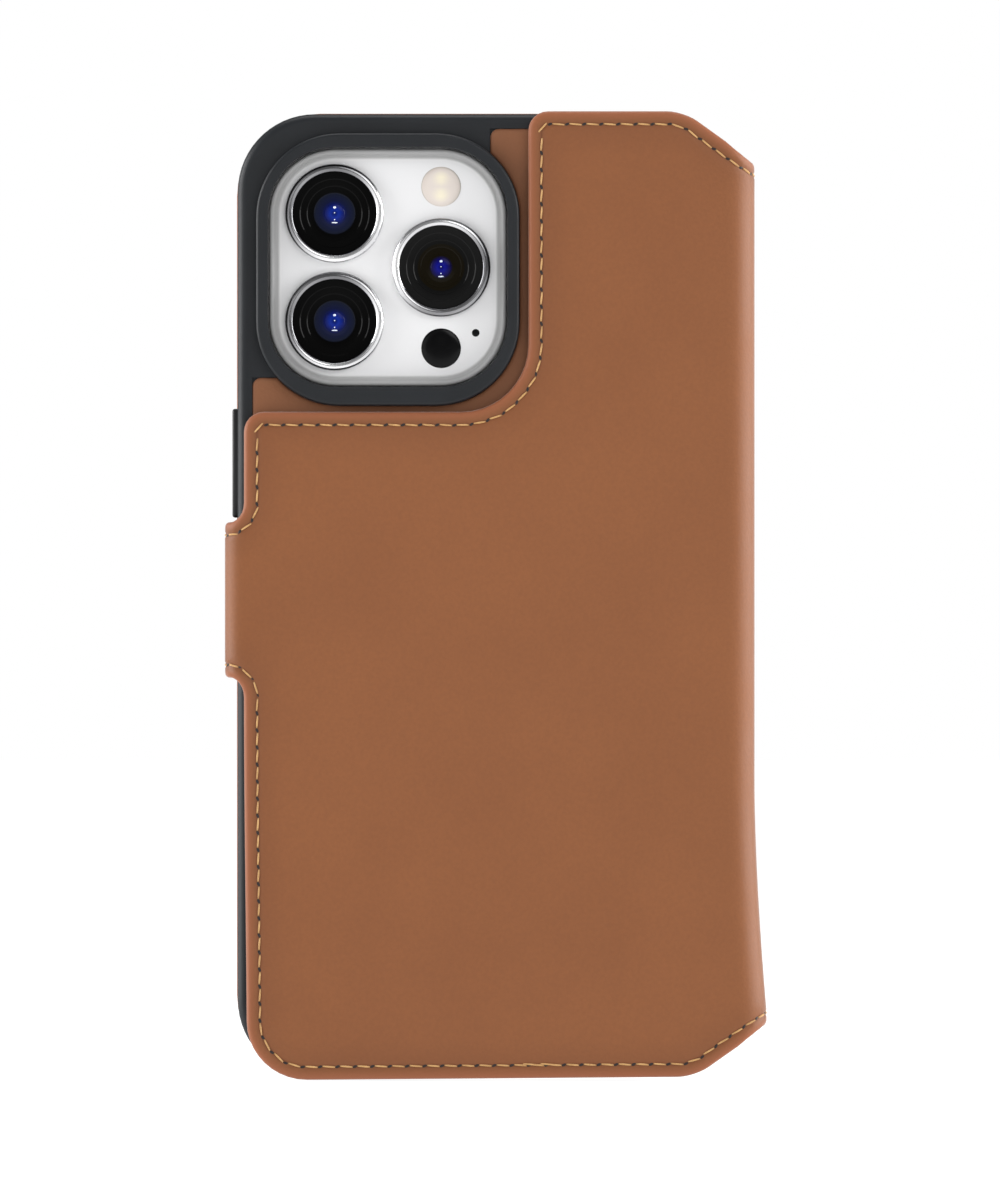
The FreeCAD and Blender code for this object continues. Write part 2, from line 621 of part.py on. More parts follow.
tray_block = plate("tray_block", SHELL, "Places.shell_y", "Places.shell_depth",
                   soft_back="Sizes.shell_round", soft_front="Sizes.lip_round")
camera_ring = plate("camera_ring",
                    square_on("Places.window_x", "Places.ring_z", "Places.ring_wide",
                              "Places.ring_tall", "Places.ring_corner"),
                    "Places.shell_y - Places.ring_rise", "Places.ring_rise + Sizes.shell_floor",
                    soft_back="Sizes.ring_round")
tray_with_ring = group("tray_with_ring", [tray_block, camera_ring])

lip_opening = plate("lip_opening",
                    phone_outline("-Sizes.lip_reach", "Sizes.phone_corner - Sizes.lip_reach"),
                    "Places.floor_y", "Places.shell_depth")
phone_cavity = plate("phone_cavity", phone_outline("Sizes.fit_gap", "Sizes.phone_corner + Sizes.fit_gap"),
                     "Places.floor_y", "Sizes.microfibre + Sizes.phone_thick")
camera_window = plate("camera_window",
                      square_on("Places.window_x", "Places.window_z", "Sizes.window_wide",
                                "Sizes.window_wide", "Sizes.window_corner"),
                      "Places.shell_y - Places.ring_rise", "Places.ring_rise + Places.shell_depth")


def inlay_blank(label, gap):
    """The leather inlay before the camera ring is cut out of it, or the recess for it."""
    inset = f"(Sizes.inlay_inset - {gap})"
    corners = rounded(f"Places.shell_left + {inset}", f"Places.shell_right - {inset}",
                      f"Places.shell_low + {inset}", f"Places.shell_high - {inset}",
                      f"Places.shell_corner - {inset}")
    return plate(label, corners, "Places.shell_y", "Sizes.inlay_thick")


def ring_clearance(label, gap):
    """What the inlay leaves free for the ring."""
    return plate(label,
                 square_on("Places.window_x", "Places.ring_z", f"(Places.ring_wide + 2 * {gap})",
                           f"(Places.ring_tall + 2 * {gap})", f"Places.ring_corner + {gap}"),
                 "Places.shell_y", "Sizes.inlay_thick")


def rim_clearance(label, gap):
    """The shell's rim above and beside the ring, which the inlay's two tips stop at."""
    corners = [
        ("Places.shell_left", f"Places.ring_low + Sizes.tip_up - {gap}", None),
        (f"Places.ring_right - Sizes.tip_across + {gap}",
         f"Places.ring_low + Sizes.tip_up - {gap}", None),
        (f"Places.ring_right - Sizes.tip_across + {gap}", "Places.shell_high", None),
        ("Places.shell_left", "Places.shell_high", None),
    ]
    return plate(label, corners, "Places.shell_y", "Sizes.inlay_thick")


shell_inlay = cut("shell_inlay", inlay_blank("inlay_blank", "0"),
                  [ring_clearance("inlay_ring_cut", "Sizes.inlay_gap"),
                   rim_clearance("inlay_rim_cut", "Sizes.inlay_gap")])
inlay_recess = cut("inlay_recess", inlay_blank("inlay_recess_blank", "Sizes.inlay_gap"),
                   [ring_clearance("recess_ring_cut", "0"), rim_clearance("recess_rim_cut", "0")])


def steel_plate(label, gap):
    """The plate under the inlay, or the recess for it."""
    low = "(Places.shell_low + Sizes.plate_low)"
    return box(
        label,
        (f"Places.shell_mid_x - Sizes.plate_wide / 2 - {gap}", "Places.shell_y + Sizes.inlay_thick",
         f"{low} - {gap}"),
        (f"Sizes.plate_wide + 2 * {gap}", "Sizes.plate_thick", f"Sizes.plate_tall + 2 * {gap}"),
    )


shell_plate = steel_plate("shell_plate", "0")
plate_recess = steel_plate("plate_recess", "Sizes.inlay_gap")


def side_box(label, side, outer, inner, wide, low, tall, lift="0"):
    """A box through one side of the phone, from outer to inner, measured into the phone's side."""
    edge = "Places.phone_left" if side < 0 else "Places.phone_right"
    reach = f"(({inner}) - ({outer}))"
    left = f"{edge} + ({outer})" if side < 0 else f"{edge} - ({outer}) - {reach}"
    return box(label, (left, f"Places.phone_mid_y - ({wide}) / 2 + {lift}", low),
               (reach, wide, tall))


SHELL_FACE = "-(Sizes.shell_wall + Sizes.fit_gap)"
LEFT, RIGHT = -1, 1
BUTTONS = [
    ("power", LEFT, "Places.power_low", "Sizes.power_long"),
    ("volume_up", RIGHT, "Places.volume_up_low", "Sizes.volume_long"),
    ("volume_down", RIGHT, "Places.volume_down_low", "Sizes.volume_long"),
]
caps = {}
keys = {}
wall_holes = []
frame_holes = []
for name, side, low, long in BUTTONS:
    blank = side_box(f"{name}_cap", side, f"{SHELL_FACE} - Sizes.key_proud",
                     "-Sizes.inner_key_proud", "Sizes.key_wide", low, long)
    caps[name] = blank
    wall_holes.append(side_box(f"{name}_wall_hole", side, f"{SHELL_FACE} - Sizes.key_proud", "0",
                               "Sizes.key_wide + 2 * Sizes.key_gap", f"{low} - Sizes.key_gap",
                               f"{long} + 2 * Sizes.key_gap"))
    key_low = f"{low} + Sizes.inner_key_short"
    key_long = f"({long} - 2 * Sizes.inner_key_short)"
    keys[name] = side_box(f"{name}_key", side, "-Sizes.inner_key_proud", "Sizes.inner_key_deep",
                          "Sizes.inner_key_wide", key_low, key_long)
    frame_holes.append(side_box(f"{name}_key_hole", side, "-Sizes.inner_key_proud",
                                "Sizes.inner_key_deep + Sizes.key_travel + Sizes.key_gap",
                                "Sizes.inner_key_wide + 2 * Sizes.key_gap",
                                f"{key_low} - Sizes.key_gap", f"{key_long} + 2 * Sizes.key_gap"))

MUTE_REST = "(-Sizes.mute_travel / 2)"
mute_switch = side_box("mute_switch", RIGHT, "-Sizes.inner_key_proud", "Sizes.inner_key_deep",
                       "Sizes.mute_thick", "Places.mute_low", "Sizes.mute_long", MUTE_REST)
frame_holes.append(side_box("mute_key_hole", RIGHT, "-Sizes.inner_key_proud",
                            "Sizes.inner_key_deep + Sizes.key_gap",
                            "Sizes.mute_thick + Sizes.mute_travel + 2 * Sizes.key_gap",
                            "Places.mute_low - Sizes.key_gap", "Sizes.mute_long + 2 * Sizes.key_gap"))
wall_holes.append(side_box("mute_wall_hole", RIGHT, SHELL_FACE, "0",
                           "Sizes.mute_thick + Sizes.mute_travel + 2 * Sizes.mute_margin",
                           "Places.mute_low - Sizes.mute_margin",
                           "Sizes.mute_long + 2 * Sizes.mute_margin"))
wall_holes.append(side_box("strap_slot", LEFT, SHELL_FACE, "0", "Sizes.strap_wide",
                           "Sizes.strap_centre - Sizes.strap_tall / 2", "Sizes.strap_tall"))


def end_box(label, x, wide, thick, low, tall):
    """A box through the shell's or the phone's lower end, centred on x."""
    return box(label, (f"{x} - {wide} / 2", f"Places.phone_mid_y - {thick} / 2", low),
               (wide, thick, tall))


END_WALL = "Sizes.shell_wall + Sizes.fit_gap"
wall_holes.append(end_box("port_hole", "Places.shell_mid_x", "Sizes.port_wide", "Sizes.port_thick",
                          "Places.shell_low", END_WALL))
for side in (-1, 1):
    wall_holes.append(end_box(f"grille_hole_{'left' if side < 0 else 'right'}",
                              f"Places.shell_mid_x + {side} * Sizes.grille_side",
                              "Sizes.grille_wide", "Sizes.grille_thick", "Places.shell_low",
                              END_WALL))
frame_holes.append(end_box("charging_socket", "Places.shell_mid_x", "Sizes.socket_wide",
                           "Sizes.socket_thick", "Places.phone_low", "Sizes.socket_deep"))

shell_tray = cut("shell_tray", tray_with_ring,
                 [lip_opening, phone_cavity, camera_window, inlay_recess, plate_recess, *wall_holes])
shell_lining = cut("shell_lining",
                   plate("shell_lining_blank", phone_outline("0", "Sizes.phone_corner"),
                         "Places.floor_y", "Sizes.microfibre"),
                   [plate("lining_window",
                          square_on("Places.window_x", "Places.window_z", "Sizes.window_wide",
                                    "Sizes.window_wide", "Sizes.window_corner"),
                          "Places.floor_y", "Sizes.microfibre")])

# ---------------------------------------------------------------- phone

phone_frame = cut("phone_frame",
                  plate("phone_frame_blank", phone_outline("0", "Sizes.phone_corner"),
                        "Places.phone_y + Sizes.glass_thick",
                        "Sizes.phone_thick - 2 * Sizes.glass_thick"),
                  frame_holes)
GLASS = phone_outline("-Sizes.glass_inset", "Sizes.phone_corner - Sizes.glass_inset")
phone_back_glass = plate("phone_back_glass", GLASS, "Places.phone_y", "Sizes.glass_thick")
phone_screen = plate("phone_screen", GLASS,
                     "Places.phone_y + Sizes.phone_thick - Sizes.glass_thick", "Sizes.glass_thick")

mic_hole = disc("mic_hole", "Places.window_x + Sizes.hole_side", "Places.plateau_y",
                "Places.window_z - Sizes.hole_down", "Sizes.hole_radius", "Sizes.plateau_rise / 2")
camera_plateau = cut("camera_plateau",
                     plate("plateau_blank",
                           square_on("Places.window_x", "Places.window_z", "Places.plateau_wide",
                                     "Places.plateau_wide",
                                     "Sizes.window_corner - Sizes.plateau_gap"),
                           "Places.plateau_y", "Sizes.plateau_rise",
                           soft_back="Sizes.plateau_round"),
                     [mic_hole])

LENSES = [("upper", -1, 1), ("lower", -1, -1), ("side", 1, 0)]


def at_lenses(label, radius, thickness):
    """A disc that stands on the plateau at each lens."""
    return [
        disc(f"{label}_{name}", f"Places.window_x + {across} * Sizes.lens_side",
             f"Places.plateau_y - {thickness}", f"Places.window_z + {up} * Sizes.lens_up", radius,
             thickness)
        for name, across, up in LENSES
    ]


lens_rings = cut("lens_rings", group("lens_ring_blanks",
                                     at_lenses("lens_ring", "Sizes.lens_out", "Sizes.lens_rise")),
                 at_lenses("lens_bore", "Sizes.lens_in", "Sizes.lens_rise"))
lens_glasses = group("lens_glasses",
                     at_lenses("lens_glass_disc", "Sizes.lens_in - Sizes.set_gap",
                               "Sizes.lens_glass"))
camera_flash = disc("camera_flash", "Places.window_x + Sizes.lens_side",
                    "Places.plateau_y - Sizes.dot_rise", "Places.window_z + Sizes.dot_up",
                    "Sizes.dot_radius", "Sizes.dot_rise")
depth_sensor = disc("depth_sensor", "Places.window_x + Sizes.lens_side",
                    "Places.plateau_y - Sizes.dot_rise", "Places.window_z - Sizes.dot_up",
                    "Sizes.dot_radius", "Sizes.dot_rise")
doc.recompute()

# ---------------------------------------------------------------- stitching and the sewn leathers

SEAM_REACH = "(Sizes.seam_inset + Sizes.thread_wide)"


def side_seams(label, face_x, start_y, long_y, low, tall):
    """Two straight runs of thread along the upper and the lower edge of a part's outer side."""
    runs = []
    for name, z in (("lower", f"{low} + Sizes.seam_inset"),
                    ("upper", f"{low} + {tall} - {SEAM_REACH}")):
        runs.append(box(f"{label}_{name}", (face_x, start_y, z),
                        ("Sizes.thread_deep", long_y, "Sizes.thread_wide")))
    return group(label, runs)


spine_seam = side_seams("spine_seam", "Places.spine_x - Sizes.thread_deep", SPINE_START, SPINE_LONG,
                        SPINE_LOW, f"({SPINE_TALL})")
spine_leather = cut("spine_leather", spine_hide, [spine_seam])
tab_side_seam = side_seams("tab_side_seam", "Places.tab_x", TAB_SIDE_START, TAB_SIDE_LONG,
                           "Sizes.tab_low", "Sizes.tab_tall")
tab_side_leather = cut("tab_side_leather", tab_side_hide, [tab_side_seam])

seam_inset = sheet.get("seam_inset")
seam_reach = seam_inset + sheet.get("thread_wide")
thread_deep = sheet.get("thread_deep")
panel_tall = places.panel_tall


def slab(left, right, low, high):
    """A block through the whole depth of the case, for trimming thread."""
    block = Part.makeBox(right - left, 2 * places.whole_depth, high - low)
    block.translate(FreeCAD.Vector(left, -places.whole_depth, low))
    return block


def edge_seam(label, hide, outer_y, inward, trim):
    """A band of thread that follows a leather's edge, let into its outer face."""
    face = next(item for item in hide.Shape.Faces
                if abs(item.BoundBox.YMin - outer_y) < 1e-6 and item.BoundBox.YLength < 1e-6)
    sheet_face = Part.Face(face.OuterWire)
    ring = sheet_face.makeOffset2D(-seam_inset).cut(sheet_face.makeOffset2D(-seam_reach))
    band = ring.extrude(FreeCAD.Vector(0, inward * thread_deep, 0)).cut(trim)
    feature = doc.addObject("Part::Feature", label)
    feature.Label = label
    feature.Shape = Part.makeCompound(band.Solids)
    return feature


at_spine = slab(places.fold_x - seam_reach, places.spine_x, 0, panel_tall)
at_tab = slab(places.tab_x, places.panel_left + seam_reach, sheet.get("tab_low") + seam_reach,
              places.tab_high - seam_reach)
at_tab_fold = slab(places.tab_x, places.tab_fold_x + seam_reach, 0, panel_tall)
back_seam = edge_seam("back_seam", back_hide, places.back_y, 1, at_spine.fuse(at_tab))
back_leather = cut("back_leather", back_hide, [back_seam])
front_seam = edge_seam("front_seam", front_hide, places.front_y, -1, at_spine)
front_leather = cut("front_leather", front_hide, [front_seam])
tab_end_seam = edge_seam("tab_end_seam", tab_end_hide, places.tab_end_y, -1, at_tab_fold)
tab_end_leather = cut("tab_end_leather", tab_end_hide,
                      [clasp_block("clasp_hollow_outer", "Sizes.set_gap"), tab_end_seam])
doc.recompute()

# ---------------------------------------------------------------- what is written

NODES = [
    back_leather, back_board, back_lining, back_magnets, back_seam,
    *rear_fold, spine_leather, spine_board, spine_lining, spine_seam, *front_fold,
    front_leather, front_board, front_lining, front_seam, clasp_keeper, note_pocket, *card_pockets,
    *tab_root, tab_side_leather, tab_side_lining, tab_side_seam, *tab_tip,
    tab_end_leather, tab_end_backing, tab_end_seam, clasp_magnet,
    shell_tray, shell_inlay, shell_plate, shell_lining,
    *caps.values(), *keys.values(), mute_switch,
    phone_frame, phone_back_glass, phone_screen, camera_plateau, lens_rings, lens_glasses,
    camera_flash, depth_sensor,
]

for item in doc.Objects:
    if {"Invalid", "Error"} & set(item.State):
        raise RuntimeError(f"{item.Label} could not be built: {item.State}")
for node in NODES:
    if node.Shape.isNull() or not node.Shape.isValid() or not node.Shape.Solids:
        raise RuntimeError(f"{node.Label} has no valid solid")

os.makedirs("parts", exist_ok=True)
for node in NODES:
    node.Shape.exportStep(f"parts/{node.Label}.step")
print(f"{len(NODES)} nodes, {places.whole_wide:.2f} x {places.whole_depth:.2f} x {panel_tall:.2f} mm")
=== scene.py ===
"""Looks of the phone wallet case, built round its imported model.

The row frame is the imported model's: +X towards the spine, +Z up the phone, -Y out of the back.
Meshes are shaped in millimetres and turned into metres when a piece is finished.
"""

from __future__ import annotations

import logging
import math
from collections.abc import Callable, Sequence
from dataclasses import dataclass, field
from enum import Enum

import bmesh
import bpy
import numpy as np
from mathutils import Matrix, Vector

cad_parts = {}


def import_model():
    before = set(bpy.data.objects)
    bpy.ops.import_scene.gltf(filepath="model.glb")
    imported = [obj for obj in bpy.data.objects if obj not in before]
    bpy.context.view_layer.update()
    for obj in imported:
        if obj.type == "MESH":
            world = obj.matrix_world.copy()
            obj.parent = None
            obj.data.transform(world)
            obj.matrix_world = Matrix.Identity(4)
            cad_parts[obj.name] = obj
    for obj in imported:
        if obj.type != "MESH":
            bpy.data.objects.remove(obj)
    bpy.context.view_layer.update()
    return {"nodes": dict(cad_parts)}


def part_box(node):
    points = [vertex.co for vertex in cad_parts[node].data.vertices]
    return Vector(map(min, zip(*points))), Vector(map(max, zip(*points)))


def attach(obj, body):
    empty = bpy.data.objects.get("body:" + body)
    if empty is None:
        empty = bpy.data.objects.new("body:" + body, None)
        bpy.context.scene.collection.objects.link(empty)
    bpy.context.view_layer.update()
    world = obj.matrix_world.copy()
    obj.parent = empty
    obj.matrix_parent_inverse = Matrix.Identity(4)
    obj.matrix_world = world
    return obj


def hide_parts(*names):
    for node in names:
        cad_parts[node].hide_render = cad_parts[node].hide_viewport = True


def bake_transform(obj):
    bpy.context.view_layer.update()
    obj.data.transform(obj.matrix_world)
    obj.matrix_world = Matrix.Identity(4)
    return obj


LOG = logging.getLogger("wallet_case")
MM = 0.001

# Values that a mesh carries: mm from the piece's edge, how much painted shade darkens the leather
# in and beside a seam, and painted reflections, light and dark by angle, round a lens ring.
EDGE = "edge"
SEAM_SHADE = "seam_shade"
PAINTED_REFLECTION = "painted_reflection"

# The ways that a flat face looks: out of the case's back, and towards its front cover.
OUT = Vector((0, -1, 0))
IN = Vector((0, 1, 0))
UP = Vector((0, 0, 1))

BUTTONS = ("power", "volume_up", "volume_down")

Colour = tuple[int, int, int]
Flat = tuple[float, float]
Nodes = dict[str, bpy.types.Object]
Seam = Sequence[tuple[Vector, Vector]]


def linear(colour: Colour) -> tuple[float, float, float, float]:
    """A screen colour as the linear one that the shaders take.

    Args:
        colour: Red, green and blue from 0 to 255.

    Returns:
        Linear red, green, blue and an alpha of 1.
    """
    parts = [channel / 255 for channel in colour]
    red, green, blue = (
        part / 12.92 if part <= 0.04045 else ((part + 0.055) / 1.055) ** 2.4 for part in parts
    )
    return red, green, blue, 1.0


def ease(value: float, low: float, high: float) -> float:
    """A smooth step.

    Args:
        value: Where to read it.
        low: Where it leaves 0.
        high: Where it reaches 1.

    Returns:
        A number from 0 to 1.
    """
    part = min(max((value - low) / (high - low), 0.0), 1.0)
    return part * part * (3 - 2 * part)


def span(node: str) -> tuple[Vector, Vector]:
    """The lowest and highest corner of a CAD node, in millimetres."""
    low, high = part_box(node)
    return Vector(low) / MM, Vector(high) / MM


# ------------------------------------------------------------------------------- finishes


class Recipe:
    """The node tree of one finish."""

    def __init__(self, name: str) -> None:
        """Starts a material with its shader and its place on the object.

        Args:
            name: The material's name.
        """
        self.material = bpy.data.materials.new(name)
        self.material.use_nodes = True
        self.tree = self.material.node_tree
        self.shader = self.tree.nodes["Principled BSDF"]
        self.place = self.add("ShaderNodeTexCoord").outputs["Object"]

    def add(self, kind: str, **settings: object) -> bpy.types.Node:
        """Adds a node.

        Args:
            kind: The node's type.
            **settings: Its properties.

        Returns:
            The node.
        """
        node = self.tree.nodes.new(kind)
        for name, value in settings.items():
            setattr(node, name, value)
        return node

    def feed(self, socket: bpy.types.NodeSocket, value: object) -> None:
        """Links a socket, or sets its constant.

        Args:
            socket: The socket to feed.
            value: Another socket, or a number or colour.
        """
        if isinstance(value, bpy.types.NodeSocket):
            self.tree.links.new(value, socket)
        else:
            socket.default_value = value

    def set(self, **values: object) -> None:
        """Feeds the shader's sockets, named with underscores for spaces."""
        for name, value in values.items():
            self.feed(self.shader.inputs[name.replace("_", " ")], value)

    def stretched(self, scale: tuple[float, float, float]) -> object:
        """The place on the object, stretched.

        Args:
            scale: How finely a pattern runs along each axis.

        Returns:
            The coordinates' socket.
        """
        node = self.add("ShaderNodeMapping")
        self.feed(node.inputs["Vector"], self.place)
        self.feed(node.inputs["Scale"], scale)
        return node.outputs["Vector"]

    def noise(self, size: float, detail: float = 2.0, place: object = None) -> object:
        """Cloudy noise.

        Args:
            size: How wide its lumps are, in mm.
            detail: How many finer layers it has.
            place: Coordinates to use instead of the object's own.

        Returns:
            The noise's strength socket.
        """
        node = self.add("ShaderNodeTexNoise")
        for name, value in (("Vector", place or self.place), ("Scale", 1 / (size * MM)),
                            ("Detail", detail)):
            self.feed(node.inputs[name], value)
        return node.outputs["Fac"]

    def pebbles(self, size: float) -> object:
        """Leather's small raised cells.

        Args:
            size: How wide a cell is, in mm.

        Returns:
            The socket with the distance from the middle of each cell.
        """
        node = self.add("ShaderNodeTexVoronoi", feature="SMOOTH_F1")
        for name, value in (("Vector", self.place), ("Scale", 1 / (size * MM)),
                            ("Smoothness", 0.6)):
            self.feed(node.inputs[name], value)
        return node.outputs["Distance"]

    def attribute(self, name: str) -> object:
        """The value that the mesh carries under this name."""
        return self.add("ShaderNodeAttribute", attribute_name=name).outputs["Fac"]

    def ramp(self, value: object, stops: Sequence[tuple[float, object]]) -> object:
        """Colours, or greys, along a value.

        Args:
            value: The socket to read.
            stops: Each a position and a Colour or a grey from 0 to 1.

        Returns:
            The ramp's colour socket.
        """
        node = self.add("ShaderNodeValToRGB")
        band = node.color_ramp
        while len(band.elements) < len(stops):
            band.elements.new(0.5)
        for element, (position, shade) in zip(band.elements, stops):
            element.position = position
            element.color = linear(shade) if isinstance(shade, tuple) else (shade, shade, shade, 1)
        self.feed(node.inputs["Fac"], value)
        return node.outputs["Color"]

    def range(self, value: object, low: float, high: float, to_low: float,
              to_high: float) -> object:
        """A value moved from one range to another, and kept inside it.

        Args:
            value: The socket to read.
            low: The value that becomes to_low.
            high: The value that becomes to_high.
            to_low: One end of the new range.
            to_high: Its other end.

        Returns:
            The new value's socket.
        """
        node = self.add("ShaderNodeMapRange")
        for name, given in (("Value", value), ("From Min", low), ("From Max", high),
                            ("To Min", to_low), ("To Max", to_high)):
            self.feed(node.inputs[name], given)
        return node.outputs["Result"]

    def mix(self, factor: object, first: object, second: object) -> object:
        """Two colours mixed.

        Args:
            factor: How much of the second shows, from 0 to 1.
            first: A Colour or a colour socket.
            second: A Colour or a colour socket.

        Returns:
            The mixed colour's socket.
        """
        node = self.add("ShaderNodeMix", data_type="RGBA")
        self.feed(node.inputs[0], factor)
        for socket, value in ((node.inputs[6], first), (node.inputs[7], second)):
            self.feed(socket, linear(value) if isinstance(value, tuple) else value)
        return node.outputs[2]

    def bump(self, height: object, depth: float, strength: float, under: object = None) -> object:
        """Relief for the shader's normal.

        Args:
            height: The relief's height socket.
            depth: How deep it is, in mm.
            strength: How much of it shows.
            under: A coarser relief that this one lies on.

        Returns:
            The normal's socket.
        """
        node = self.add("ShaderNodeBump")
        for name, value in (("Height", height), ("Distance", depth * MM), ("Strength", strength)):
            self.feed(node.inputs[name], value)
        if under is not None:
            self.feed(node.inputs["Normal"], under)
        return node.outputs["Normal"]


@dataclass(frozen=True)
class Leather:
    """Smooth calf leather with painted edges.

    Attributes:
        name: The material's name.
        tone: The dye where it is light.
        shade: The dye where it is dark.
        edge: The paint on the cut edges.
        speck_and_shade: The darker colour of random specks, and the colour of painted shade in and
            beside a seam.
        roughness: How matt it is.
        mottle: How wide the dye's patches are, in mm.
        grain: How wide a pore cell is, in mm.
        relief: How deep the grain is, in mm.
    """

    name: str
    tone: Colour
    shade: Colour
    edge: Colour
    speck_and_shade: Colour
    roughness: float = 0.5
    mottle: float = 16.0
    grain: float = 0.42
    relief: float = 0.035

    def make(self) -> bpy.types.Material:
        """Builds the material: mottled dye, pores, painted shade in and beside the seam, and the
        paint on its edges.

        Returns:
            The material.
        """
        mix = Recipe(self.name)
        clouds = mix.noise(self.mottle, 4.0)
        pores = mix.pebbles(self.grain)
        fine = mix.noise(0.16, 3.0)
        dye = mix.ramp(clouds, [(0.34, self.shade), (0.66, self.tone)])
        speck = mix.range(mix.noise(0.55, 2.0), 0.3, 0.72, 0.0, 0.16)
        dye = mix.mix(speck, dye, self.speck_and_shade)
        # Painted shade: the leather darkens in the seam's channel and for a few mm beside the seam,
        # where shade falls.
        pressed = mix.range(mix.attribute(SEAM_SHADE), 0.0, 1.0, 0.0, 0.75)
        dye = mix.mix(pressed, dye, self.speck_and_shade)
        painted = mix.range(mix.attribute(EDGE), 0.25, 1.5, 1.0, 0.0)
        dye = mix.mix(painted, dye, self.edge)
        coarse = mix.bump(clouds, 0.4, 0.2)
        skin = mix.bump(pores, self.relief, 0.55, coarse)
        mix.set(
            Base_Color=dye,
            Roughness=mix.range(clouds, 0.3, 0.7, self.roughness - 0.05, self.roughness + 0.06),
            Normal=mix.bump(fine, self.relief * 0.5, 0.45, skin),
            Specular_IOR_Level=0.3,
            Sheen_Weight=0.5,
            Sheen_Roughness=0.32,
        )
        return mix.material


@dataclass(frozen=True)
class Suede:
    """Short-napped microfibre."""

    name: str
    tone: Colour
    shade: Colour

    def make(self) -> bpy.types.Material:
        """Builds the material: brushed nap over a fine random weave.

        Returns:
            The material.
        """
        mix = Recipe(self.name)
        nap = mix.noise(7.0, 3.0)
        fibre = mix.noise(0.22, 4.0)
        dye = mix.ramp(nap, [(0.35, self.shade), (0.65, self.tone)])
        dye = mix.mix(mix.range(fibre, 0.35, 0.7, 0.0, 0.35), dye, self.shade)
        mix.set(Base_Color=dye, Roughness=0.94, Normal=mix.bump(fibre, 0.06, 0.7),
                Specular_IOR_Level=0.2, Sheen_Weight=0.35, Sheen_Roughness=0.5)
        return mix.material


@dataclass(frozen=True)
class Thread:
    """Waxed sewing thread."""

    name: str
    tone: Colour
    shade: Colour

    def make(self) -> bpy.types.Material:
        """Builds the material: fibres along a twisted, slightly glossy thread.

        Returns:
            The material.
        """
        mix = Recipe(self.name)
        fibre = mix.noise(0.09, 3.0)
        patches = mix.noise(1.4, 2.0)
        dye = mix.mix(mix.range(fibre, 0.3, 0.7, 0.0, 0.8), self.tone, self.shade)
        dye = mix.mix(mix.range(patches, 0.4, 0.75, 0.0, 0.5), dye, self.shade)
        mix.set(Base_Color=dye, Roughness=0.55, Normal=mix.bump(fibre, 0.03, 0.8),
                Specular_IOR_Level=0.4, Sheen_Weight=0.2)
        return mix.material


@dataclass(frozen=True)
class Plastic:
    """Moulded plastic with a fine spark-eroded texture."""

    name: str
    tone: Colour
    shade: Colour
    roughness: float
    texture: float = 0.12

    def make(self) -> bpy.types.Material:
        """Builds the material: moulded texture with slightly uneven gloss.

        Returns:
            The material.
        """
        mix = Recipe(self.name)
        cloud = mix.noise(9.0, 3.0)
        spark = mix.noise(self.texture, 2.0)
        mix.set(
            Base_Color=mix.ramp(cloud, [(0.35, self.shade), (0.65, self.tone)]),
            Roughness=mix.range(spark, 0.3, 0.7, self.roughness - 0.06, self.roughness + 0.08),
            Normal=mix.bump(spark, 0.02, 0.35),
            Specular_IOR_Level=0.3,
        )
        return mix.material


@dataclass(frozen=True)
class Metal:
    """Metal that is brushed or polished."""

    name: str
    tone: Colour
    shade: Colour
    roughness: float
    brush: tuple[float, float, float] = (1.0, 1.0, 0.04)

    def make(self) -> bpy.types.Material:
        """Builds the material: fine brushed lines in both colour and relief.

        Returns:
            The material.
        """
        mix = Recipe(self.name)
        lines = mix.noise(0.12, 3.0, mix.stretched(self.brush))
        mix.set(
            Base_Color=mix.ramp(lines, [(0.3, self.shade), (0.7, self.tone)]),
            Metallic=1.0,
            Roughness=mix.range(lines, 0.3, 0.7, self.roughness * 0.8, self.roughness * 1.25),
            Normal=mix.bump(lines, 0.006, 0.25),
        )
        return mix.material


@dataclass(frozen=True)
class TurnedMetal:
    """Polished metal turned on a lathe, with painted reflections, light and dark by angle round
    each ring.
    """

    name: str
    bright: Colour
    dark: Colour
    middle: Colour = (150, 150, 152)
    glare: Colour = (255, 255, 255)

    def make(self) -> bpy.types.Material:
        """Builds the material: painted reflections, light and dark by angle as the mesh carries
        them, with slightly uneven polish.

        Returns:
            The material.
        """
        mix = Recipe(self.name)
        painted_glare = mix.attribute(PAINTED_REFLECTION)
        lines = mix.noise(0.05, 2.0)
        tone = mix.ramp(painted_glare, [(0.0, self.dark), (0.35, self.middle), (0.75, self.bright),
                                  (1.0, self.glare)])
        mix.set(Base_Color=tone, Metallic=1.0, Roughness=mix.range(lines, 0.3, 0.7, 0.14, 0.22))
        return mix.material


@dataclass(frozen=True)
class Glazed:
    """Gloss or frosted glass over a colour that changes inwards from the piece's edge.

    Attributes:
        name: The material's name.
        stops: The colours, from the edge at 0 inwards to 1.
        reach: How far in the last colour lies, in mm.
        roughness: How frosted it is.
        coat: How much clear coat lies over it.
        coat_roughness: How matt that coat is.
        mirror: How strongly the glass reflects.
    """

    name: str
    stops: tuple[tuple[float, Colour], ...]
    reach: float
    roughness: float
    coat: float
    coat_roughness: float = 0.03
    mirror: float = 0.5

    def make(self) -> bpy.types.Material:
        """Builds the material: bands of colour by distance from the edge, under a clear coat.

        Returns:
            The material.
        """
        mix = Recipe(self.name)
        inwards = mix.range(mix.attribute(EDGE), 0.0, self.reach, 0.0, 1.0)
        cloud = mix.noise(11.0, 2.0)
        mix.set(
            Base_Color=mix.ramp(inwards, self.stops),
            Roughness=mix.range(cloud, 0.3, 0.7, self.roughness, self.roughness + 0.05),
            Specular_IOR_Level=self.mirror,
            Coat_Weight=self.coat,
            Coat_Roughness=self.coat_roughness,
        )
        return mix.material


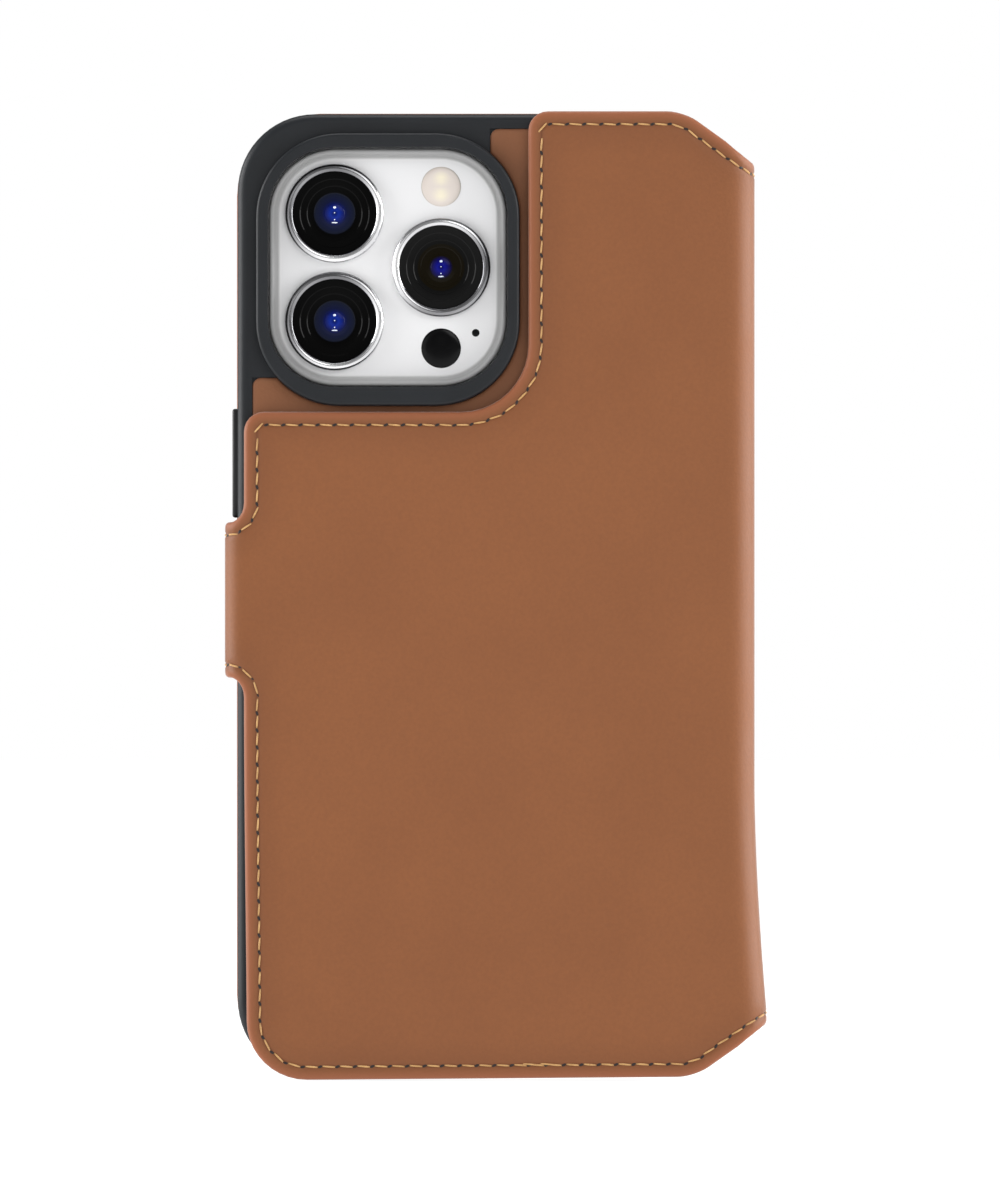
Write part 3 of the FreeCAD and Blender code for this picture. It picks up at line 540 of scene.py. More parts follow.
@dataclass(frozen=True)
class Board:
    """Grey-brown fibre board."""

    name: str
    tone: Colour
    shade: Colour

    def make(self) -> bpy.types.Material:
        """Builds the material: pressed fibres, stretched along the board.

        Returns:
            The material.
        """
        mix = Recipe(self.name)
        fibres = mix.noise(0.5, 4.0, mix.stretched((1.0, 1.0, 0.25)))
        mix.set(Base_Color=mix.ramp(fibres, [(0.3, self.shade), (0.7, self.tone)]),
                Roughness=0.9, Normal=mix.bump(fibres, 0.05, 0.6))
        return mix.material


class Look(Enum):
    """Every finish on the case and the phone, with the record's material slot it belongs to."""

    CASE = ("case_leather", Leather(
        "case_leather", (132, 80, 44), (128, 77, 42), (142, 84, 54), (96, 54, 30)))
    INNER = ("inner_leather", Leather(
        "inner_leather", (134, 84, 54), (128, 79, 50), (142, 88, 58), (100, 60, 40), 0.58))
    INLAY = ("inner_leather", Leather(
        "inlay_leather", (148, 97, 60), (140, 91, 56), (120, 76, 50), (98, 62, 40), 0.58))
    LINING = ("lining_fabric", Suede("lining_fabric", (62, 51, 45), (55, 45, 40)))
    THREAD = ("thread", Thread("thread", (224, 182, 120), (160, 114, 64)))
    # Painted shade: dark beads that stand in for the shade inside each needle hole.
    NEEDLE = ("thread", Thread("needle_hole_shadow", (30, 14, 8), (20, 9, 5)))
    BOARD = ("board", Board("board", (150, 138, 118), (124, 112, 94)))
    MAGNET = ("magnet_metal", Metal("magnet_metal", (196, 196, 200), (150, 150, 154), 0.3))
    STEEL = ("steel", Metal("steel", (178, 178, 182), (130, 130, 134), 0.38))
    SHELL = ("shell_plastic", Plastic("shell_plastic", (21, 24, 28), (17, 20, 24), 0.44))
    BUTTON = ("button_plastic", Plastic("button_plastic", (26, 26, 28), (20, 20, 22), 0.36, 0.2))
    PHONE = ("phone_metal", Metal("phone_metal", (214, 215, 218), (176, 177, 180), 0.2))
    SWITCH = ("switch_plastic", Plastic("switch_plastic", (216, 92, 34), (196, 80, 28), 0.4))
    BACK_GLASS = ("back_glass", Glazed(
        "back_glass", ((0.0, (200, 200, 202)), (1.0, (214, 214, 216))), 3.0, 0.42, 0.3, 0.2))
    PLATEAU = ("back_glass", Glazed(
        "plateau_glass",
        ((0.0, (176, 176, 176)), (0.16, (200, 200, 200)), (0.45, (164, 164, 164)),
         (0.64, (196, 196, 196)), (0.84, (230, 230, 230)), (1.0, (224, 224, 225))),
        2.0, 0.36, 0.3, 0.2))
    SCREEN = ("screen_glass", Glazed(
        "screen_glass", ((0.0, (8, 8, 9)), (0.85, (8, 8, 9)), (1.0, (12, 13, 17))), 2.4, 0.1, 0.0,
        mirror=0.35))
    LENS_RING = ("phone_metal", TurnedMetal("turned_metal_painted_glare", (214, 214, 216), (88, 88, 91)))
    LENS = ("lens_glass", Glazed(
        "lens_glass",
        ((0.0, (2, 2, 2)), (0.3, (4, 4, 4)), (0.49, (1, 1, 1)), (0.52, (20, 24, 38)),
         (0.7, (16, 21, 50)), (0.78, (12, 22, 84)), (0.9, (14, 38, 130)), (1.0, (10, 22, 76))),
        6.45, 0.12, 0.0, mirror=0.08))
    WARM_LENS = ("lens_glass", Glazed(
        "lens_glass_warm",
        ((0.0, (24, 24, 24)), (0.2, (20, 20, 20)), (0.42, (12, 12, 12)), (0.45, (16, 12, 4)),
         (0.72, (16, 12, 4)), (0.8, (12, 8, 72)), (0.92, (14, 18, 120)), (1.0, (10, 12, 60))),
        6.45, 0.12, 0.0, mirror=0.08))
    GLINT = ("lens_glass", Plastic("lens_glint", (236, 240, 250), (206, 220, 248), 0.2))
    FLASH = ("flash_lens", Glazed(
        "flash_lens",
        ((0.0, (160, 152, 144)), (0.06, (206, 196, 188)), (0.4, (216, 206, 198)),
         (1.0, (236, 228, 204))),
        3.1, 0.3, 0.3, 0.2))
    SENSOR = ("sensor_window", Glazed(
        "sensor_window", ((0.0, (12, 12, 13)), (0.5, (3, 3, 4)), (1.0, (6, 6, 7))), 3.1, 0.12, 0.0,
        mirror=0.15))

    @property
    def slot(self) -> str:
        """The record's material slot."""
        return self.value[0]

    def material(self) -> bpy.types.Material:
        """The finish's material, made the first time it is asked for.

        Returns:
            The material.
        """
        finish = self.value[1]
        known = bpy.data.materials.get(f"wallet_{finish.name}")
        if known is None:
            known = finish.make()
            known.name = f"wallet_{finish.name}"
        return known


# ------------------------------------------------------------------------------- pieces


def add_object(name: str, data: bpy.types.ID) -> bpy.types.Object:
    """Puts a mesh, a light or a camera into the scene.

    Args:
        name: What the object is called.
        data: What it shows.

    Returns:
        The new object.
    """
    item = bpy.data.objects.new(name, data)
    bpy.context.scene.collection.objects.link(item)
    return item


def dress(node: bpy.types.Object, look: Look) -> None:
    """Gives a CAD node its finish.

    Args:
        node: The node as it was loaded.
        look: The finish.
    """
    if not node.material_slots:
        node.data.materials.append(look.material())
    for slot in node.material_slots:
        slot.material = look.material()


def finish_piece(name: str, mesh: bmesh.types.BMesh, look: Look, replaces: Sequence[str] = (),
                 body: str | None = None, crease: float = 38.0) -> bpy.types.Object:
    """Turns a shaped mesh into a piece.

    Args:
        name: What the piece is called.
        mesh: Its shape in mm, which is freed.
        look: Its finish.
        replaces: The CAD nodes that it stands for.
        body: The body that it rides on, or None to leave it without one.
        crease: The angle in degrees above which an edge stays sharp.

    Returns:
        The new object.
    """
    for edge in mesh.edges:
        edge.smooth = not edge.is_manifold or edge.calc_face_angle(0.0) < math.radians(crease)
    for face in mesh.faces:
        face.smooth = True
    bmesh.ops.scale(mesh, vec=(MM, MM, MM), verts=mesh.verts)
    data = bpy.data.meshes.new(name)
    mesh.to_mesh(data)
    mesh.free()
    data.materials.append(look.material())
    piece = add_object(name, data)
    if replaces:
        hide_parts(*replaces)
    if body:
        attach(piece, body)
    LOG.info("%s: %d faces, %s", name, len(data.polygons), look.slot)
    return piece


def from_node(node: str, nodes: Nodes) -> bmesh.types.BMesh:
    """A merged copy of a CAD node's mesh, with its flat faces made whole.

    Args:
        node: The node's name.
        nodes: Every CAD node.

    Returns:
        The copy, in mm.
    """
    mesh = bmesh.new()
    mesh.from_mesh(nodes[node].data)
    bmesh.ops.scale(mesh, vec=(1 / MM, 1 / MM, 1 / MM), verts=mesh.verts)
    bmesh.ops.remove_doubles(mesh, verts=mesh.verts, dist=0.002)
    bmesh.ops.dissolve_limit(mesh, angle_limit=math.radians(1.0), verts=mesh.verts,
                             edges=mesh.edges)
    return mesh


def add_softened(name: str, node: str, nodes: Nodes, look: Look, body: str, radius: float,
                 steps: int = 2) -> None:
    """Replaces a hard CAD solid with a copy that has rounded edges.

    Args:
        name: What the piece is called.
        node: The CAD node that it stands for.
        nodes: Every CAD node.
        look: Its finish.
        body: The body that it rides on.
        radius: The rounding's size, in mm.
        steps: How many faces the rounding gets.
    """
    mesh = from_node(node, nodes)
    sharp = [edge for edge in mesh.edges
             if edge.is_manifold and edge.calc_face_angle(0.0) > math.radians(40)]
    bmesh.ops.bevel(mesh, geom=sharp, offset=radius, offset_type="OFFSET", affect="EDGES",
                    segments=steps, profile=0.5, material=-1, clamp_overlap=True)
    finish_piece(name, mesh, look, (node,), body)


def round_corners(mesh: bmesh.types.BMesh, corners: Sequence[bmesh.types.BMVert], reach: float,
                  steps: int) -> bmesh.types.BMFace:
    """Rounds corners of a flat outline.

    Args:
        mesh: The outline, which is one face.
        corners: The corners to round.
        reach: How far the rounding reaches along each side, in mm.
        steps: How many sides the rounding gets.

    Returns:
        The outline's face.
    """
    bmesh.ops.bevel(mesh, geom=corners, offset=reach, offset_type="OFFSET", affect="VERTICES",
                    segments=steps, profile=0.5, material=-1)
    mesh.faces.ensure_lookup_table()
    return mesh.faces[0]


def inset(mesh: bmesh.types.BMesh, face: bmesh.types.BMFace, distance: float) -> None:
    """Draws a ring inside a flat face, which becomes the face inside the ring."""
    bmesh.ops.inset_region(mesh, faces=[face], thickness=distance, use_even_offset=True,
                           use_boundary=True)


def cut(mesh: bmesh.types.BMesh, place: Vector, way: Vector, away: bool = False) -> None:
    """Cuts a mesh by a plane.

    Args:
        mesh: The mesh to cut.
        place: A point on the plane.
        way: The plane's normal.
        away: Whether what lies beyond the plane is taken away.
    """
    bmesh.ops.bisect_plane(mesh, geom=[*mesh.verts, *mesh.edges, *mesh.faces], dist=1e-4,
                           plane_co=place, plane_no=way, clear_outer=away)


def seal(mesh: bmesh.types.BMesh) -> None:
    """Closes a turned shape's seam and poles, and turns its faces outwards."""
    bmesh.ops.remove_doubles(mesh, verts=mesh.verts, dist=1e-4)
    bmesh.ops.recalc_face_normals(mesh, faces=mesh.faces)


def flat_loop(face: bmesh.types.BMFace) -> list[Vector]:
    """A face's corners, all at a y of 0."""
    return [Vector((vertex.co.x, 0, vertex.co.z)) for vertex in face.verts]


def step_in(mesh: bmesh.types.BMesh, rings: Sequence[Flat], way: Vector = OUT) -> None:
    """Shapes a solid's largest flat face ring by ring, from its edge inwards.

    Args:
        mesh: The solid, whose vertices then carry their distance from the face's edge.
        rings: Each ring's distance from the edge, and how far it stands out of the face.
        way: The way that the face looks.
    """
    layer = mesh.verts.layers.float.new(EDGE)
    face = plate_face(mesh, way)
    last, level = 0.0, 0.0
    for distance, height in rings:
        if distance > last:
            inset(mesh, face, distance - last)
        for vertex in face.verts:
            vertex.co += way * (height - level)
            vertex[layer] = distance
        last, level = distance, height


def thicken(mesh: bmesh.types.BMesh, face: bmesh.types.BMFace, depth: float) -> None:
    """Makes a flat face a solid.

    Args:
        mesh: The mesh that the face belongs to.
        face: The face, whose y is the solid's lowest.
        depth: How far the solid reaches along +Y.
    """
    copied = bmesh.ops.extrude_face_region(mesh, geom=[face])["geom"]
    bmesh.ops.translate(mesh, vec=(0, depth, 0),
                        verts=[item for item in copied if isinstance(item, bmesh.types.BMVert)])
    bmesh.ops.recalc_face_normals(mesh, faces=mesh.faces)


def plate_face(mesh: bmesh.types.BMesh, way: Vector) -> bmesh.types.BMFace:
    """The largest face that looks the given way."""
    return max((face for face in mesh.faces if face.normal.dot(way) > 0.99),
               key=lambda face: face.calc_area())


# ------------------------------------------------------------------------------- the strip


@dataclass(frozen=True)
class Corner:
    """A corner of a flat outline, and how far its rounding reaches along each side."""

    u: float
    z: float
    reach: float = 0.0


@dataclass(frozen=True)
class Stretch:
    """A flat run of the strip, or a quarter-turn fold where it has a radius.

    Attributes:
        start: Where along the strip it starts.
        length: How long its outer face is.
        radius: The outer face's radius in a fold, or 0.
        x: Where it starts on the closed case.
        y: Where it starts on the closed case.
        heading: The way that it sets off in plan, in radians.
    """

    start: float
    length: float
    radius: float
    x: float
    y: float
    heading: float


class Strip:
    """The case's leather laid out flat.

    u runs along the outer face from the tab's tip, round the tab, across the back panel, round the
    spine and across the front cover. w goes in from the outer face. Both are in mm.
    """

    def __init__(self) -> None:
        """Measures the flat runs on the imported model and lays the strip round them."""
        back, back_far = span("back_leather")
        spine, spine_far = span("spine_leather")
        front, front_far = span("front_leather")
        side, side_far = span("tab_side_leather")
        tip, tip_far = span("tab_end_leather")
        fold = spine_far.x - back_far.x
        tab = back.x - side.x
        self.tall = back_far.z
        self.tab_low, self.tab_high = side.z, side_far.z
        self.spine_low = spine.z
        self.stretches: list[Stretch] = []
        x, y, heading, start = tip_far.x, tip_far.y, math.pi, 0.0
        for length, radius in ((tip_far.x - back.x, tab), (side_far.y - side.y, tab),
                               (back_far.x - back.x, fold), (spine_far.y - spine.y, fold),
                               (front_far.x - front.x, 0.0)):
            self.stretches.append(Stretch(start, length, 0.0, x, y, heading))
            x += math.cos(heading) * length
            y += math.sin(heading) * length
            start += length
            if radius:
                self.stretches.append(Stretch(start, radius * math.pi / 2, radius, x, y, heading))
                x -= math.sin(heading) * radius
                y += math.cos(heading) * radius
                heading += math.pi / 2
                x += math.sin(heading) * radius
                y -= math.cos(heading) * radius
                start += radius * math.pi / 2
        self.end = start
        self.tab_bent, self.panel, self.fold = (self.stretches[i].start for i in (2, 4, 5))
        self.tab_middle = self.stretches[2].start + self.stretches[2].length / 2
        self.spine, self.front_fold, self.cover = (self.stretches[i].start for i in (6, 7, 8))
        self.spine_middle = (self.spine + self.front_fold) / 2

    def place(self, u: float, w: float) -> Flat:
        """Where a point of the strip is on the closed case.

        Args:
            u: How far along the strip it is.
            w: How far in from the outer face it is.

        Returns:
            Its x and y.
        """
        part = next((item for item in reversed(self.stretches) if u >= item.start),
                    self.stretches[0])
        if not part.radius:
            along = u - part.start
            return (part.x + math.cos(part.heading) * along - math.sin(part.heading) * w,
                    part.y + math.sin(part.heading) * along + math.cos(part.heading) * w)
        heading = part.heading + (u - part.start) / part.radius
        centre_x = part.x - math.sin(part.heading) * part.radius
        centre_y = part.y + math.cos(part.heading) * part.radius
        reach = part.radius - w
        return centre_x + math.sin(heading) * reach, centre_y - math.cos(heading) * reach

    def cuts(self, pitch: float, fold_steps: int) -> list[float]:
        """Where the strip is cut so that it can bend.

        Args:
            pitch: How far apart the cuts are on the flat runs.
            fold_steps: How many parts each fold is cut into.

        Returns:
            The places along the strip.
        """
        places = []
        for part in self.stretches:
            count = fold_steps if part.radius else max(1, round(part.length / pitch))
            places += [part.start + part.length * step / count for step in range(count)]
        return places[1:]


@dataclass
class CaseSkin:
    """The case's leather, lining and stitching, shaped flat and folded round the phone.

    Attributes:
        leather: The outer leather's thickness.
        lining: The lining's thickness.
        backing: The thickness of the inner leather on the tab's end.
        back_board: The back panel's board.
        cover_board: The spine's and front cover's boards.
        corner: How far the back panel's rounded corners reach.
        tight: How far the small corners beside the notch reach.
        notch_corner: How far the notch's inner corner reaches.
        notch_x: Where the notch's upright edge is.
        notch_z: Where the notch's lower edge is.
        waist: How far the slanted corners reach beside each fold.
        waist_slope: How steeply the slanted corners rise.
        waist_reach: How far the rounding reaches where a slant begins.
        tab_corner: How far the rounding of the tab's end reaches.
        tab_root: How far the rounding at the tab's root reaches.
        cover_corner: How far the front cover's rounded corners reach.
        edge_gap: How far the lining stops short of the leather's edge.
        seam: How far in the seam runs.
        stitch: How far apart the stitches are.
        step: How far apart the flat runs are cut.
        board_ease: How gradually a board's edge shows through.
        lean_left: How far the lower left corner has settled towards the spine.
        left_tall: How high up that shows.
        lean_right: How far the spine's lower end has settled outwards.
        right_tall: How high up that shows.
        right_full: How high up it is at its full measure.
        right_curve: How steeply it grows, as a power.
        lift: How far the spine's lower end has risen.
        lift_tall: How high up that shows.
        rings: Where the leather is cut alongside its edge.
        profile: The leather's face: a distance from the edge and how deep the face lies there.
    """

    leather: float = 1.1
    lining: float = 0.4
    backing: float = 0.8
    back_board: float = 0.9
    cover_board: float = 0.7
    corner: float = 9.2
    tight: float = 3.1
    notch_corner: float = 10.5
    notch_x: float = 6.0
    notch_z: float = 104.15
    waist: float = 6.6
    waist_slope: float = 8.4 / 11.7
    waist_reach: float = 2.6
    tab_corner: float = 5.0
    tab_root: float = 3.0
    cover_corner: float = 13.0
    edge_gap: float = 0.3
    seam: float = 2.05
    stitch: float = 2.66
    step: float = 3.0
    board_ease: float = 1.6
    lean_left: float = 0.45
    left_tall: float = 60.0
    lean_right: float = 1.9
    right_tall: float = 46.0
    right_full: float = 10.0
    right_curve: float = 1.6
    lift: float = 0.6
    lift_tall: float = 30.0
    rings: tuple[float, ...] = (0.07, 0.24, 0.5, 0.85, 1.45, 1.8, 2.05, 2.3, 2.6)
    profile: tuple[Flat, ...] = (
        (0.0, 0.8), (0.07, 0.5), (0.24, 0.25), (0.5, 0.1), (0.85, 0.03), (1.45, 0.03), (1.8, 0.15),
        (2.05, 0.2), (2.3, 0.12), (2.6, 0.0), (3.5, -0.06), (6.0, -0.2), (9.0, -0.3),
        (13.0, -0.34))
    strip: Strip = field(default_factory=Strip)

    def __post_init__(self) -> None:
        """Makes the flat outline once."""
        blank, rim = self.cut_out()
        self.rim = np.array([(vertex.co.x, vertex.co.z) for vertex in rim.verts])
        blank.free()

    def corners(self) -> list[Corner]:
        """The outline's corners, from the back panel's lower left.

        Returns:
            The corners in order.
        """
        line, tall = self.strip, self.strip.tall
        slant = self.waist_slope * (line.spine - line.fold) / (math.pi / 2)
        folded = [(turn, slant * math.sin(math.radians(turn))) for turn in (0, 22.5, 45, 67.5, 90)]
        first = self.waist * self.waist_slope
        bend = line.spine - line.fold
        low = [Corner(line.fold + bend * turn / 90, first + rise) for turn, rise in folded]
        low += [Corner(line.cover - bend * turn / 90, first + rise)
                for turn, rise in reversed(folded)]
        lower = [Corner(line.fold - self.waist, 0, self.waist_reach), *low,
                 Corner(line.cover + self.waist, 0, self.waist_reach)]
        upper = [Corner(item.u, tall - item.z, item.reach) for item in reversed(lower)]
        notch = line.fold - (span("back_leather")[1].x - self.notch_x)
        return [
            Corner(line.panel, 0, self.corner), *lower,
            Corner(line.end, 0, self.cover_corner), Corner(line.end, tall, self.cover_corner),
            *upper,
            Corner(notch, tall, self.tight), Corner(notch, self.notch_z, self.notch_corner),
            Corner(line.panel, self.notch_z, self.tight),
            Corner(line.panel, line.tab_high, self.tab_root),
            Corner(0, line.tab_high, self.tab_corner), Corner(0, line.tab_low, self.tab_corner),
            Corner(line.panel, line.tab_low, self.tab_root),
        ]

    def cut_out(self) -> tuple[bmesh.types.BMesh, bmesh.types.BMFace]:
        """The whole strip as one flat face with rounded corners.

        Returns:
            The mesh and its face.
        """
        mesh = bmesh.new()
        corners = self.corners()
        made = [mesh.verts.new((item.u, 0, item.z)) for item in corners]
        mesh.faces.new(made)
        for reach in sorted({item.reach for item in corners if item.reach}):
            rounded = [vertex for vertex, item in zip(made, corners) if item.reach == reach]
            face = round_corners(mesh, rounded, reach, 6 if reach < 4 else 10)
        return mesh, face

    def from_edge(self, verts: Sequence[bmesh.types.BMVert]) -> np.ndarray:
        """How far a flat mesh's vertices are from the outline.

        Args:
            verts: The vertices.

        Returns:
            Each one's distance.
        """
        points = np.array([(vertex.co.x, vertex.co.z) for vertex in verts])
        found = np.full(len(points), np.inf)
        for start, end in zip(self.rim, np.roll(self.rim, -1, axis=0)):
            side = end - start
            part = np.clip((points - start) @ side / max(side @ side, 1e-12), 0, 1)
            found = np.minimum(found, np.linalg.norm(points - start - part[:, None] * side, axis=1))
        return found

    def lining_depth(self, u: float) -> float:
        """How deep the lining lies: behind a board on the panels, behind leather in the folds.

        Args:
            u: The place along the strip.

        Returns:
            Its depth behind the outer face.
        """
        line = self.strip
        depth = self.leather
        for start, end, board in ((line.panel, line.fold, self.back_board),
                                  (line.spine, line.front_fold, self.cover_board),
                                  (line.cover, line.end, self.cover_board)):
            depth += (board * ease(u, start - self.board_ease, start)
                      * (1 - ease(u, end, end + self.board_ease)))
        return depth

    def lining_thickness(self, u: float) -> float:
        """The lining's thickness, which is the backing's on the tab's end."""
        tip = self.strip.stretches[1].start
        return self.lining + (self.backing - self.lining) * (1 - ease(u, tip - 1.5, tip))

    def pillow(self, u: float) -> float:
        """How softly padded the leather is: fully on the panels, not at all in the folds.

        Args:
            u: The place along the strip.

        Returns:
            A number from 0 to 1.
        """
        line = self.strip
        back = ease(u, line.panel, line.panel + 6) * (1 - ease(u, line.fold - 8, line.fold))
        return back + ease(u, line.cover, line.cover + 8)

    def lean(self, u: float, z: float) -> Flat:
        """How the worn case has settled: its lower end leans towards the spine and lifts there.

        Args:
            u: The place along the strip.
            z: The height.

        Returns:
            How far the place has moved along X, and up.
        """
        line = self.strip
        left = self.lean_left * (1 - ease(z, 0.0, self.left_tall))
        part = (self.right_tall - z) / (self.right_tall - self.right_full)
        right = self.lean_right * max(0.0, min(1.0, part)) ** self.right_curve
        across = min(max((u - line.panel) / (line.fold - line.panel), 0.0), 1.0)
        fade = 1 - ease(u, line.cover, line.end)
        lift = self.lift * across * (1 - ease(z, 0.0, self.lift_tall)) * fade
        return (left + (right - left) * across) * fade, lift

    def fold(self, mesh: bmesh.types.BMesh) -> None:
        """Bends a flat mesh round the case.

        Args:
            mesh: The mesh, with u, w and z for its x, y and z.
        """
        for vertex in mesh.verts:
            u, w, z = vertex.co
            x, y = self.strip.place(u, w)
            across, lift = self.lean(u, z)
            vertex.co = (x + across, y, z + lift)

    def sheet(self, margin: float, rings: Sequence[float]) -> bmesh.types.BMesh:
        """A flat solid of the strip, 1 thick, with rings round both faces, cut ready to bend.

        Args:
            margin: How far the sheet keeps inside the outline.
            rings: The rings' distances from the sheet's own edge, on its first face.

        Returns:
            The solid, with w of 0 on its first face and 1 on its second.
        """
        mesh, face = self.cut_out()
        if margin:
            inset(mesh, face, margin)
            others = [item for item in mesh.faces if item is not face]
            bmesh.ops.delete(mesh, geom=others, context="FACES")
        thicken(mesh, face, 1.0)
        outer, under = plate_face(mesh, OUT), plate_face(mesh, IN)
        for target, distances in ((outer, rings), (under, (0.2,))):
            for last, distance in zip((0.0, *distances), distances):
                inset(mesh, target, distance - last)
        for level in np.arange(self.step, self.strip.tall, self.step):
            cut(mesh, Vector((0, 0, level)), UP)
        for place in self.strip.cuts(self.step, 8):
            cut(mesh, Vector((place, 0, 0)), Vector((1, 0, 0)))
        return mesh

    def part_of(self, whole: bmesh.types.BMesh, low: float, high: float) -> bmesh.types.BMesh:
        """The closed part of a flat solid between two places along the strip.

        Args:
            whole: The solid, which stays as it is.
            low: Where the part starts.
            high: Where the part ends.

        Returns:
            The part.
        """
        mesh = whole.copy()
        for place, way in ((low, -1), (high, 1)):
            if self.strip.stretches[0].start < place < self.strip.end:
                cut(mesh, Vector((place, 0, 0)), Vector((way, 0, 0)), True)
                bmesh.ops.holes_fill(mesh, edges=[edge for edge in mesh.edges if edge.is_boundary],
                                     sides=0)
        return mesh

    def hide(self) -> bmesh.types.BMesh:
        """The whole outer leather, flat: rounded painted edges, a sewn channel with painted shade
        in and beside it, and soft panels.

        Returns:
            The solid.
        """
        mesh = self.sheet(0.0, self.rings)
        edge = mesh.verts.layers.float.new(EDGE)
        seam_shade = mesh.verts.layers.float.new(SEAM_SHADE)
        verts = list(mesh.verts)
        away = self.from_edge(verts)
        for vertex, distance, depth in zip(verts, away, np.interp(away, *zip(*self.profile))):
            vertex[edge] = distance
            behind = self.lining_depth(vertex.co.x)
            if vertex.co.y < 0.5:
                # Painted shade: full in the seam's channel, and weaker from the edge to 5 mm past
                # the seam, fading inwards.
                vertex[seam_shade] = max(0.0, 1 - abs(distance - self.seam) / 0.42,
                                   0.3 * (1 - ease(distance, self.seam, self.seam + 5)))
                vertex.co.y = depth if depth > 0 else depth * self.pillow(vertex.co.x)
            elif distance < 0.1:
                vertex.co.y = behind - 0.15
            else:
                board = (behind - self.leather) * (1 - ease(distance, 2.6, 4.2))
                vertex.co.y = self.leather + board
        return mesh

    def inside(self) -> bmesh.types.BMesh:
        """The whole lining, flat, dipping into the folds.

        Returns:
            The solid.
        """
        mesh = self.sheet(self.edge_gap, (0.2,))
        edge = mesh.verts.layers.float.new(EDGE)
        verts = list(mesh.verts)
        for vertex, distance in zip(verts, self.from_edge(verts)):
            vertex[edge] = distance - self.edge_gap
            depth, thick = self.lining_depth(vertex.co.x), self.lining_thickness(vertex.co.x)
            rim = 0.1 if distance < 0.4 else 0.0
            vertex.co.y = depth if vertex.co.y < 0.5 else depth + thick - rim
        return mesh

    def seam_line(self) -> Seam:
        """The stitches' centres and directions, flat, all the way round.

        Returns:
            Each stitch's centre and direction.
        """
        mesh, face = self.cut_out()
        inset(mesh, face, self.seam)
        loop = flat_loop(face)
        mesh.free()
        return spaced(loop, self.stitch)


def spaced(loop: Sequence[Vector], pitch: float) -> Seam:
    """Evenly spaced places along a closed loop.

    Args:
        loop: The loop's corners.
        pitch: Roughly how far apart the places are.

    Returns:
        Each place and the direction of the loop there.
    """
    sides = [(start, end) for start, end in zip(loop, [*loop[1:], loop[0]])
             if (end - start).length > 1e-5]
    total = sum((end - start).length for start, end in sides)
    count = round(total / pitch)
    found, walked, index = [], 0.0, 0
    for number in range(count):
        target = total * (number + 0.5) / count
        while walked + (sides[index][1] - sides[index][0]).length < target:
            walked += (sides[index][1] - sides[index][0]).length
            index += 1
        start, end = sides[index]
        way = (end - start).normalized()
        found.append((start + way * (target - walked), way))
    return found


@dataclass
class Sewing:
    """Stitches of two-ply thread, and dark beads between them, painted as the shade in each needle
    hole.

    Attributes:
        length: A stitch's length.
        width: The thread's width.
        height: How far the thread stands up.
        twist: How far the plies turn off the seam, in degrees.
        hole: The length, depth and width of a dark bead painted as a needle hole's shade.
        hole_shadow_turn: How far that painted shade turns off the seam, in degrees.
    """

    length: float = 2.05
    width: float = 0.3
    height: float = 0.28
    twist: float = 5.0
    hole: tuple[float, float, float] = (0.8, 0.12, 0.44)
    hole_shadow_turn: float = -28.0

    def __post_init__(self) -> None:
        """Makes one stitch and one bead of painted hole shade, along X with their backs to +Y."""
        across = Matrix.Rotation(math.pi / 2, 4, "Y")
        plies = [Matrix.Translation((0, 0, side * self.width * 0.2))
                 @ Matrix.Rotation(math.radians(self.twist), 4, "Y")
                 @ Matrix.Diagonal((self.length, self.height, self.width * 0.62, 1)) @ across
                 for side in (-1, 1)]
        shadow_shape = (Matrix.Rotation(math.radians(self.hole_shadow_turn), 4, "Y")
                 @ Matrix.Diagonal((*self.hole, 1)))
        self.parts = {"stitch": self.beads("stitch", plies, 6, 5),
                      "hole": self.beads("hole", [shadow_shape], 8, 4)}

    def beads(self, name: str, shapes: Sequence[Matrix], around: int,
              along: int) -> bpy.types.Mesh:
        """One or more drawn-out beads as a mesh.

        Args:
            name: What they make.
            shapes: How each one is drawn out and placed.
            around: How many sides a bead has.
            along: How many rows of faces a bead has.

        Returns:
            The mesh.
        """
        mesh = bmesh.new()
        for shape in shapes:
            bead = bmesh.ops.create_uvsphere(mesh, u_segments=around, v_segments=along,
                                             radius=0.5)["verts"]
            bmesh.ops.transform(mesh, matrix=shape, verts=bead)
        data = bpy.data.meshes.new(f"one_{name}")
        mesh.to_mesh(data)
        mesh.free()
        return data

    def run(self, places: Seam, part: str) -> bmesh.types.BMesh:
        """Sets a stitch, or a hole, at each place, flat.

        Args:
            places: Each a centre and a direction along the seam.
            part: Either "stitch" or "hole".

        Returns:
            All of them as one mesh.
        """
        mesh = bmesh.new()
        for centre, way in places:
            known = len(mesh.verts)
            mesh.from_mesh(self.parts[part])
            mesh.verts.ensure_lookup_table()
            turn = Matrix((way, IN, way.cross(IN))).transposed()
            bmesh.ops.transform(mesh, matrix=Matrix.Translation(centre) @ turn.to_4x4(),
                                verts=mesh.verts[known:])
        bmesh.ops.recalc_face_normals(mesh, faces=mesh.faces)
        return mesh


@dataclass(frozen=True)
class Panel:
    """One piece of the strip.

    Attributes:
        name: What its pieces' names start with.
        low: Where along the strip it starts.
        high: Where along the strip it ends.
        bodies: The bodies either side of the joint that it crosses; not used.
        fold: Which stretch of the strip that joint is.
        backwards: Whether the bodies run against the strip; not used.
        hides: The outer leather's CAD nodes.
        linings: The lining's CAD nodes.
        seams: The seam's CAD nodes.
        lining_look: The lining's finish.
    """

    name: str
    low: float
    high: float
    bodies: tuple[str, str]
    fold: int
    backwards: bool
    hides: tuple[str, ...]
    linings: tuple[str, ...]
    seams: tuple[str, ...]
    lining_look: Look = Look.LINING


